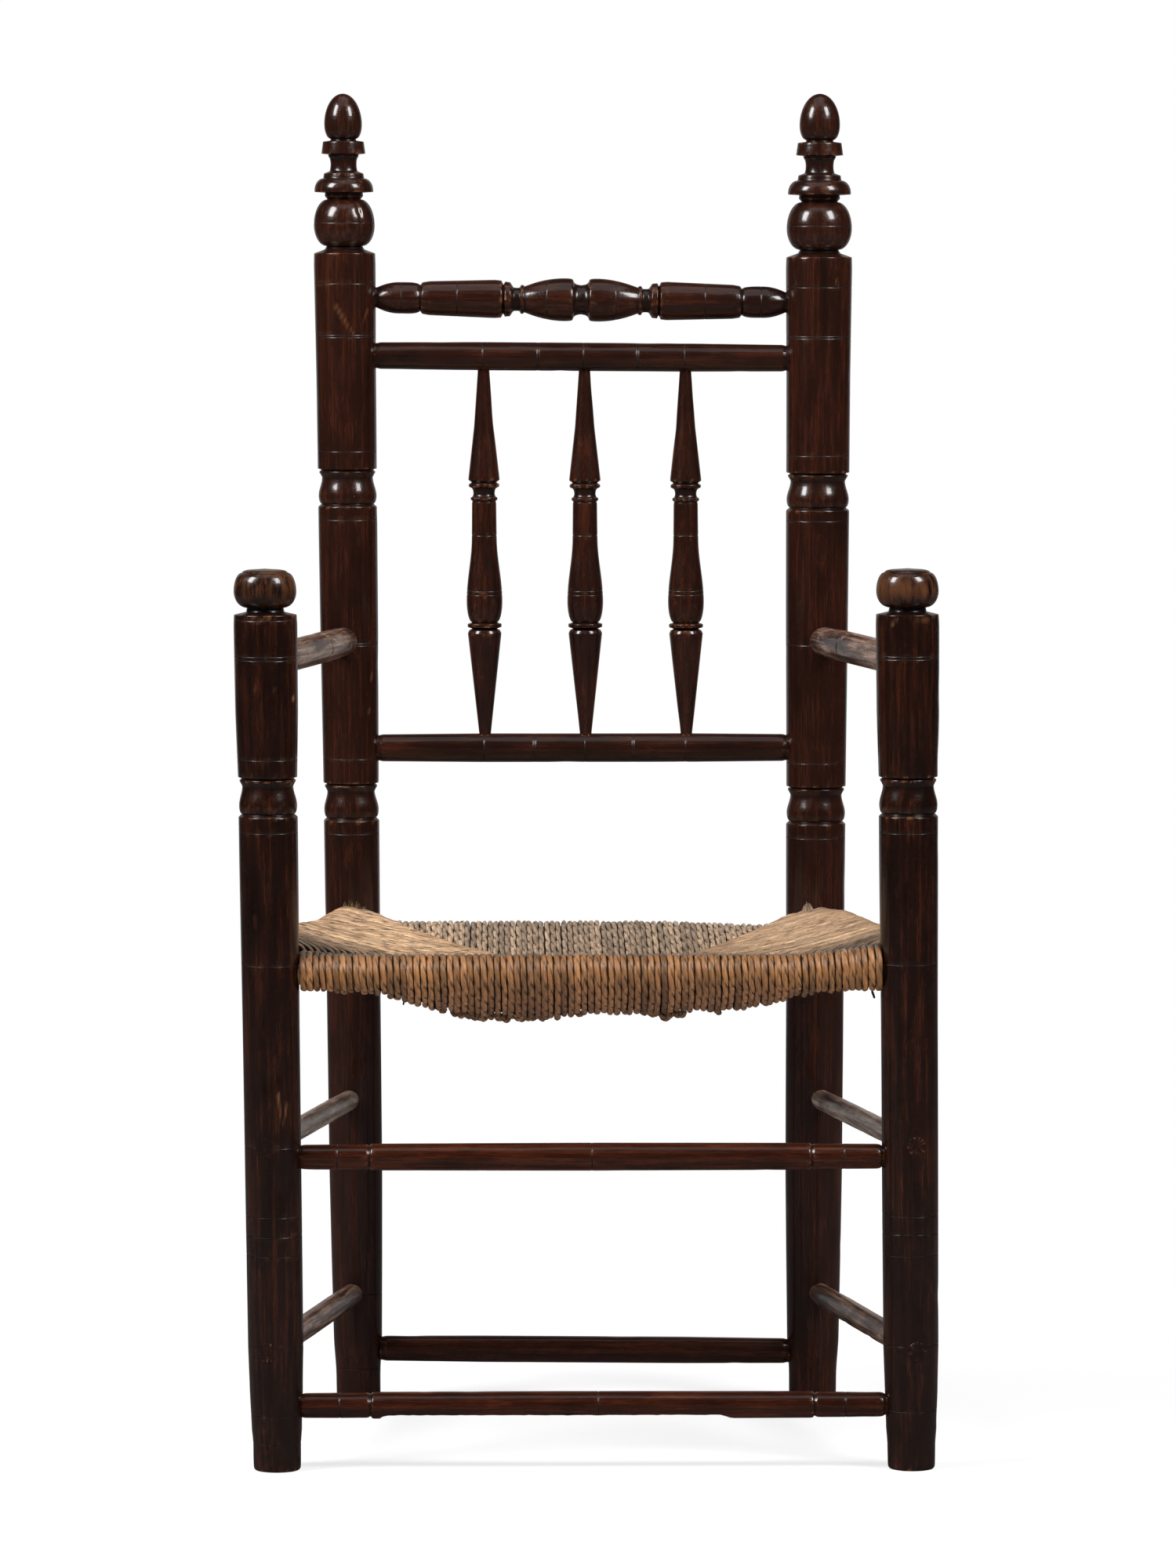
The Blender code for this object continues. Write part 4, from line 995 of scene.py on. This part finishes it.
def wind_panel(name, number, origins, towards, pitch, rail_stretch, seed, stops, twist, lobe, tones,
               *nodes):
    """One panel of the seat, as rows of twisted cord wound over its rail.

    Each cord's middle line runs from its seam over the top to the rail, half round it, and back
    under the belly to the seam, and dips at both ends to pass under the next panel. The cords are
    darker and paler than one another, by chance and by their own given tones.
    """
    chance = np.random.default_rng(seed)
    cords = len(origins)
    top = np.linspace(1, 0, TOP_STEPS)[:-1]
    turn = np.linspace(0, math.pi, ROLL_STEPS)
    under = np.linspace(0, 1, UNDER_STEPS)[1:]
    eased = under ** 1.3
    short = np.maximum(way_in(number, origins, towards)[:, None] - SEAM_LAP, LEAST_WAY_IN)
    thin = CORD_THICKNESS * chance.uniform(*THINS, (cords, 1))
    wrap = WRAP_RADIUS - thin
    insets = insets_of(origins[:, 0], origins[:, 1])
    beside = (np.minimum(insets[2], insets[3]) if number < 2
              else SIDE_HASTE * np.minimum(insets[0], insets[1]))
    slope = hang(number, origins[:, :1], beside[:, None], 0 * wrap, wrap)[1]
    turn = turn * (1 - slope / math.pi)
    leave = -wrap * np.sin(turn[:, -1:]) * rail_stretch
    inset = np.concatenate((short * top, -wrap * np.sin(turn) * rail_stretch,
                            leave + (short - leave) * eased), axis=1)
    plan = origins[:, None] - towards * inset[..., None]
    x, y = plan[..., 0], plan[..., 1]
    first, last = TOP_STEPS - 1, TOP_STEPS - 1 + ROLL_STEPS
    over = top_at(x, y) - thin
    below = belly_at(x, y, wrap)
    start = top_at(origins[:, :1], origins[:, 1:2]) - thin
    rail_height = rail_heights[number]
    roll = rail_height + wrap * np.cos(turn) + (start - rail_height - wrap) * (1 + np.cos(turn)) / 2
    z = np.concatenate((over[:, :first], roll, below[:, last:]), axis=1)
    steps = z.shape[1]
    to_seam = np.concatenate((
        short * (1 - top), short + 0 * roll, (short - leave) * (1 - eased)), axis=1)
    dip = DIP * np.exp(-to_seam / DIP_REACH)
    lower_half = np.arange(steps) >= last
    z = z + np.where(lower_half, dip, -dip)
    lumps = smooth_noise(chance, cords, steps, knots=22)
    z = z + LUMP * lumps
    slack = smooth_noise(chance, 1, cords, knots=30)[0][:, None] * SLACK
    slack = slack + chance.uniform(*SLACKS, (cords, 1))
    z = z + np.where(lower_half, slack * np.sin(math.pi * np.clip(to_seam / (short + 0.02), 0, 1)), 0)
    aside_plan = np.cross(Z_AXIS, (*towards, 0))
    flat, hung = 0 * over[:, :first], 0 * below[:, last:]
    lean = np.concatenate((flat, turn / math.pi, 1 + hung), axis=1) * LEAN
    ragged = np.concatenate((flat, 0 * turn, hung + under), axis=1)
    sway = (SWAY + RAGGED_SWAY * ragged) * smooth_noise(chance, cords, steps, knots=14) + lean
    sway = sway + chance.uniform(*SWAYS, (cords, 1))
    middle = np.stack((x, y, z), axis=-1) + sway[..., None] * aside_plan
    way = np.concatenate((1 - top + 0 * wrap, 1 + turn / turn[:, -1:], 2 + under + 0 * wrap), axis=1)
    tint = tinted(way, stops)
    shade = chance.uniform(*SHADES, (cords, 1))
    shade = shade * (1 + 0.20 * smooth_noise(chance, cords, steps, knots=12))
    tint[..., :3] *= (shade * tones[:, None])[..., None]
    half_width = 0.51 * pitch * chance.uniform(*WIDTHS, (cords, 1)) * (1 + 0.04 * lumps)
    gold = np.exp(-((way - 1.45) / 0.38) ** 2)
    return lay_cords(name, middle, aside_plan, half_width, thin * (1 + 0.05 * lumps), twist, lobe,
                     tint, gold, chance, *nodes)


# Twisted rush: the cord's own tint under strands and threads, with dark splits, painted shade in the
# grooves between its two strands and painted shade on the sides where cords touch. It is smoothest
# where it is golden.
rush, dab, shader = finish_of("twisted_rush")
tint, fibre = dab.attribute("tint", 0), dab.attribute("fibre", 1)
crown, turns, gold = (dab.attribute(word, 2) for word in ("crown", "turns", "gold"))
strands = fibre.cloud((90, 1500, 3), 4, 0.62)
threads = fibre.cloud((260, 5200, 3), 3, 0.6)
splits = fibre.cloud((34, 900, 3), 3, 0.6).between(0.60, 0.68)
strand_wave = dab.node("ShaderNodeMath", {"operation": "COSINE"}, {0: turns * (2 * math.tau)})
groove_and_shade = (0 - strand_wave).between(0.60, 0.98)
touching_shade = (1 - crown).between(0.38, 0.84)
tone = strands * 0.6 + threads * 0.4
mottle = tone.ramp(
    (0.36, paint(128, 114, 100)), (0.50, paint(222, 214, 204)), (0.62, paint(255, 255, 255)))
colour = tint.times(mottle)
colour = (splits * 0.6).mix(colour, paint(48, 34, 22))
# Painted shade in the grooves between the two strands
colour = (groove_and_shade * 0.75).mix(colour, paint(40, 27, 17))
# Painted shade on the sides of each cord, where cords touch
colour = (touching_shade * 0.92).mix(colour, paint(24, 16, 10))
colour.feed(shader, "Base Color")
(0.62 - gold * 0.30 + strands * 0.14).feed(shader, "Roughness")
(strands * 0.5 + threads * 0.25 - splits * 0.6 - groove_and_shade * 0.6).bump(shader, 0.6, 0.0006)

GOLD = paint(156, 109, 64)
BROWN = paint(154, 108, 72)
GREY = paint(124, 108, 94)
# Tints along a cord: 0 is the seam on top, 1 the rail's top, 2 its underside, 3 the seam beneath
FRONT_STOPS = ((0.0, paint(140, 118, 96)), (0.9, GREY), (1.06, GREY), (1.16, GOLD), (1.75, GOLD),
               (2.0, paint(160, 112, 70)), (2.5, BROWN), (3.0, paint(120, 83, 54)))
REAR_STOPS = ((0.0, paint(190, 165, 139)), (0.8, paint(188, 165, 143)), (1.2, paint(166, 144, 123)),
              (1.8, paint(140, 108, 74)), (2.5, BROWN), (3.0, paint(110, 76, 50)))
SIDE_STOPS = ((0.0, paint(178, 144, 112)), (0.5, paint(202, 170, 136)), (0.95, paint(184, 152, 120)),
              (1.3, paint(164, 128, 92)), (1.8, paint(146, 106, 68)), (2.5, BROWN), (3.0, paint(96, 66, 44)))
side_slopes = [(rear_x - front_x) / (rear_y - front_y) for front_x, rear_x in side_ends]
# The posts' radii at the seat, where the front and rear wraps begin and end
FRONT_POST_AT_SEAT, LEFT_REAR_AT_SEAT, RIGHT_REAR_AT_SEAT = FRONT_POST_RADIUS * 0.9, 0.0242, 0.0260
front_edges = [side_ends[0][0] + FRONT_POST_AT_SEAT, side_ends[1][0] - FRONT_POST_AT_SEAT]
rear_edges = [side_ends[0][1] + LEFT_REAR_AT_SEAT, side_ends[1][1] - RIGHT_REAR_AT_SEAT]
SIDE_CORDS, SIDE_FROM, SIDE_TO = 65, 0.0190, 0.0150
for word, rail_y, edges, count, stops, twist, lobe, seed in (
        ("front", front_y, front_edges, 87, FRONT_STOPS, 0.036, 0.10, 101),
        ("rear", rear_y, rear_edges, 72, REAR_STOPS, 0.088, 0.16, 102)):
    pitch = (edges[1] - edges[0]) / count
    x = edges[0] + pitch * (np.arange(count) + 0.5)
    origins = np.stack((x, 0 * x + rail_y), axis=-1)
    nodes = ("rush_seat",) if word == "front" else ()
    wind_panel("rush_panel_" + word, int(rail_y > 0), origins, np.array((0, np.sign(rail_y))), 0.96 * pitch,
               1.0, seed, stops, twist, lobe, np.ones(count), *nodes)
for number, word in enumerate(("left", "right")):
    low, high, count = front_y + SIDE_FROM, rear_y - SIDE_TO, SIDE_CORDS
    pitch = (high - low) / count
    y = low + pitch * (np.arange(count) + 0.5)
    origins = np.stack((side_x(number, y), y), axis=-1)
    streaks = smooth_noise(np.random.default_rng(93 + number), 1, count, knots=44)[0]
    tones = (0.42 + 0.58 * np.clip((y - low - 0.010) / 0.065, 0, 1)) * (1 + 0.26 * streaks)
    wind_panel("rush_panel_" + word, 2 + number, origins, np.array((2 * number - 1, 0)), pitch,
               math.hypot(1, side_slopes[number]), 103 + number, SIDE_STOPS, 0.050, 0.10, tones)

# Torn rush
# Under the front edge some cords have worn through. Their broken ends hang in short loops, mostly
# left of the middle, one wisp sticks out by each front post, and fuzz clings to the rear posts.
LOOP_STEPS = 13
TORN_AT = ((-0.108, -0.034, 17), (0.048, 0.080, 7), (-0.16, 0.15, 9))  # from x, to x, how many
# A wisp's x, its way behind the front rail, its height, and how far aside and down it reaches
WISPS = ((-0.1515, 0.030, 0.3905, -0.0012, -0.0058), (0.2362, 0.006, 0.3985, 0.0022, -0.0062))
WISP_THICKS = (0.0007, 0.0010)
TORN_BROWN, WISP_BROWN = paint(150, 107, 72), paint(44, 32, 22)
# Between which lengths the loops' way behind the front rail, span, drop and half thickness lie
LOOP_BEHIND, LOOP_SPANS = (0.040, 0.078), (0.004, 0.011)
LOOP_DROPS, LOOP_THICKS = (0.0002, 0.0022), (0.0018, 0.0031)
chance = np.random.default_rng(111)
loop_x = np.concatenate([np.linspace(*row) for row in TORN_AT])
loop_x = loop_x + chance.uniform(-0.002, 0.002, len(loop_x))
loop_y = front_y + chance.uniform(*LOOP_BEHIND, len(loop_x))
span = chance.uniform(*LOOP_SPANS, (len(loop_x), 1)) * chance.choice((-1, 1), (len(loop_x), 1))
drop = chance.uniform(*LOOP_DROPS, (len(loop_x), 1))
part = np.linspace(0, 1, LOOP_STEPS)
hanging = belly_at(loop_x, loop_y)[:, None] + 0.0020 - (drop + 0.0015) * np.sin(math.pi * part)
loops = np.stack((loop_x[:, None] + span * (part - 0.5), loop_y[:, None] - 0.004 * part,
                  hanging), axis=-1)
loops = loops + 0.0006 * np.stack([
    smooth_noise(chance, len(loop_x), LOOP_STEPS, knots=4) for _ in range(3)], axis=-1)
for x, behind, z, aside, fall in WISPS:
    line = np.stack((x + aside * part, front_y + behind + 0 * part, z + fall * part), axis=-1)
    loops = np.concatenate((loops, line[None]))
thick = np.concatenate((chance.uniform(*LOOP_THICKS, len(loop_x)), WISP_THICKS))[:, None]
thick = thick * (0.35 + 0.65 * np.sin(math.pi * np.clip(part, 0.03, 0.97)) ** 0.5)
tint = np.empty((*loops.shape[:2], 4))
tint[:] = TORN_BROWN
tint[..., :3] *= chance.uniform(0.6, 1.15, (len(loops), 1, 1))
tint[-2:] = WISP_BROWN
facing = np.sign(loops[:, -1:, 0] - loops[:, :1, 0])[..., None] * Z_AXIS
lay_cords("rush_torn_ends", loops, facing, thick * 1.15, thick, 0.016, 0.22, tint, 0 * thick, chance)
# Fuzz: its height and width, how far off the post's middle it grows, how much its stalks lean out,
# the post's radius there, a stalk's half width and its colour
STALKS = 46
SEAT_LEVEL = 0.44
ROOT_BEFORE, ROOT_DEPTH = 0.026, 0.002    # a stalk's root before the post's axis and under the seat's top
for side, tall, wide, middle, leaning, radius, stalk, colour in (
        ("left", 0.0100, 0.0170, 0.0005, 0.35, 0.0242, 0.00038, paint(140, 106, 66)),
        ("right", 0.0105, 0.0150, -0.0085, -0.45, 0.0259, 0.00060, paint(190, 164, 138))):
    post = post_at("rear_post_" + side, SEAT_LEVEL)
    root = chance.uniform(-1, 1, (STALKS, 1))
    offset = middle + wide / 2 * (root + leaning * root * part)
    offset = offset + 0.0006 * smooth_noise(chance, STALKS, LOOP_STEPS, knots=3)
    height = top_at(post[0] + offset[:, :1], rear_y - ROOT_BEFORE) - ROOT_DEPTH
    rise = tall * chance.uniform(0.45, 1, (STALKS, 1)) * (1 - 0.5 * np.abs(root)) * part
    face = post[1] - np.sqrt(radius ** 2 - offset ** 2) - 0.0005
    stalks = np.stack((post[0] + offset, face + 0 * rise, height + rise), axis=-1)
    thick = stalk * (1.15 - part) * np.ones((STALKS, 1))
    tint = np.empty((STALKS, LOOP_STEPS, 4))
    tint[:] = colour
    tint[..., :3] *= chance.uniform(0.4, 1.2, (STALKS, 1, 1))
    lay_cords("rush_fuzz_" + side, stalks, (-1.0, 0, 0), thick, thick, 0.02, 0, tint, 0 * thick, chance)

# Stuffing
# A pad of broken rush and leaves lies between the top and the underside of the weave. Its dark
# colour is painted shade in the gaps between the cords. It shows only where they part.
STUFFING_INSET, STUFFING_DEPTH = 0.0125, 0.0036
PAD_ROWS, RIM_STEEPNESS = 61, 14
part = np.linspace(0, 1, PAD_ROWS)
across, forth = np.meshgrid(part, part, indexing="ij")
y = front_y + STUFFING_INSET + (rear_y - front_y - 2 * STUFFING_INSET) * forth
left_x, right_x = side_x(0, y) + STUFFING_INSET, side_x(1, y) - STUFFING_INSET
x = left_x + (right_x - left_x) * across
top, bottom = top_at(x, y) - STUFFING_DEPTH, belly_at(x, y) + STUFFING_DEPTH
to_rim = np.minimum(np.minimum(across, 1 - across), np.minimum(forth, 1 - forth))
rim = np.clip(to_rim * RIM_STEEPNESS, 0, 1) ** 0.5
heart = (top + bottom) / 2
sheets = [np.stack((x, y, heart + (sheet - heart) * rim), axis=-1) for sheet in (top, bottom)]
# The underside shares the top's corners round the rim and has its own inside it
corner = np.arange(PAD_ROWS ** 2).reshape(PAD_ROWS, PAD_ROWS)
tops = np.stack((corner[:-1, :-1], corner[1:, :-1], corner[1:, 1:], corner[:-1, 1:]), axis=-1)
tops = tops.reshape(-1, 4)
inner = np.zeros((PAD_ROWS, PAD_ROWS), dtype=bool)
inner[1:-1, 1:-1] = True
inner = inner.ravel()
under_names = np.where(inner, PAD_ROWS ** 2 + np.cumsum(inner) - 1, corner.ravel())
corners = np.concatenate((sheets[0].reshape(-1, 3), sheets[1].reshape(-1, 3)[inner]))
stuffing_shade_finish, dab, shader = finish_of("stuffing_painted_shade")
spot = dab.node("ShaderNodeTexCoord", {}, {}, "Object")
shreds = spot.cloud((500, 900, 500), 4, 0.7)
# Dark browns that paint the shade in the gaps between the cords
shreds.ramp((0.35, paint(20, 14, 9)), (0.6, paint(52, 37, 23)),
            (0.75, paint(84, 62, 40))).feed(shader, "Base Color")
(0.75 + shreds * 0.2).feed(shader, "Roughness")
shreds.bump(shader, 0.8, 0.001)
stuffing = add_piece("rush_stuffing", mesh_of("rush_stuffing", corners, [
    tops, under_names[tops[:, ::-1]]], {}), stuffing_shade_finish, "rush")

# Floor, light and camera
# A pale studio floor that keeps a faint shadow and turns to plain white away from the chair, two
# tall soft lamps, weak ones above and behind, and the camera where the photograph was taken from.
FLOOR_HALF = 7.0
floor_mesh = bpy.data.meshes.new("floor")
floor_corners = [(x * FLOOR_HALF, y * FLOOR_HALF, 0) for x, y in ((-1, -1), (1, -1), (1, 1), (-1, 1))]
floor_mesh.from_pydata(floor_corners, [], [(0, 1, 2, 3)])
floor = bpy.data.objects.new("floor", floor_mesh)
bpy.context.scene.collection.objects.link(floor)
floor_finish, dab, shader = finish_of("studio_floor")
floor_mesh.materials.append(floor_finish)
shader.inputs["Roughness"].default_value = 0.9
shader.inputs["Specular IOR Level"].default_value = 0.1
spot = dab.node("ShaderNodeTexCoord", {}, {}, "Object")
away = spot.node("ShaderNodeVectorMath", {"operation": "LENGTH"}, {0: spot}, "Value")
seen, mirrored = (dab.node("ShaderNodeLightPath", {}, {}, word)
                  for word in ("Is Camera Ray", "Is Glossy Ray"))
pale = seen.mix((0.80, 0.79, 0.78, 1), (0.98, 0.98, 0.98, 1))
mirrored.mix(pale, (0.08, 0.08, 0.08, 1)).feed(shader, "Base Color")
glow = dab.node("ShaderNodeEmission", {}, {"Color": (1, 1, 1, 1), "Strength": 1.0})
share = seen * (0.72 + 0.28 * away.between(0.25, 1.2))
mixed = dab.node("ShaderNodeMixShader", {}, {0: share, 1: Dab(dab.tree, shader.outputs[0]), 2: glow})
mixed.feed(floor_finish.node_tree.nodes["Material Output"], "Surface")

world = bpy.data.worlds.new("studio")
bpy.context.scene.world = world
world.use_nodes = True
sky = Dab(world.node_tree)
seen, spread = (sky.node("ShaderNodeLightPath", {}, {}, word)
                for word in ("Is Camera Ray", "Is Diffuse Ray"))
dim = sky.node("ShaderNodeBackground", {}, {"Color": (1, 1, 1, 1), "Strength": 0.015 + 0.27 * spread})
white = sky.node("ShaderNodeBackground", {}, {"Color": (1, 1, 1, 1), "Strength": 1.0})
sky.node("ShaderNodeMixShader", {}, {0: seen, 1: dim, 2: white}).feed(
    world.node_tree.nodes["World Output"], "Surface")


def add_lamp(name, spot, aim, width, height, power):
    """A soft lamp at a spot, turned so that its face looks at the aim."""
    data = bpy.data.lights.new(name, "AREA")
    data.shape, data.size, data.size_y, data.energy = "RECTANGLE", width, height, power
    lamp = bpy.data.objects.new(name, data)
    bpy.context.scene.collection.objects.link(lamp)
    away = np.array(spot, dtype=float) - np.array(aim)
    lamp.location = spot
    lamp.rotation_euler = (math.acos(away[2] / np.linalg.norm(away)), 0,
                           math.atan2(away[1], away[0]) + math.pi / 2)


# A lamp's name, its spot, what it looks at, its width, height and power
for lamp in (
        ("left_lamp", (-2.30, -1.25, 2.75), (0, 0, 0.65), 1.0, 1.5, 140),
        ("right_lamp", (2.05, -1.60, 2.80), (0, 0, 0.65), 1.0, 1.4, 115),
        ("top_lamp", (0, -0.4, 3.4), (0, 0, 0.5), 2.4, 2.4, 16),
        ("backdrop_glow", (0, 3.2, 1.4), (0, 0, 1.4), 5.0, 2.8, 14)):
    add_lamp(*lamp)

LENS, SENSOR, FARTHEST_SEEN = 170.65, 36, 60
CAMERA_SPOT, CAMERA_PITCH, CAMERA_TURN = (-0.0805, -6.2964, 1.0217), 4.207, 0.759
eye = bpy.data.cameras.new("camera")
eye.lens, eye.sensor_fit = LENS, "VERTICAL"
eye.sensor_width = eye.sensor_height = SENSOR
eye.clip_end = FARTHEST_SEEN
camera = bpy.data.objects.new("camera", eye)
bpy.context.scene.collection.objects.link(camera)
camera.location = CAMERA_SPOT
camera.rotation_euler = (math.radians(90 - CAMERA_PITCH), 0, math.radians(-CAMERA_TURN))
bpy.context.scene.camera = camera
bpy.context.scene.view_settings.view_transform = "Standard"
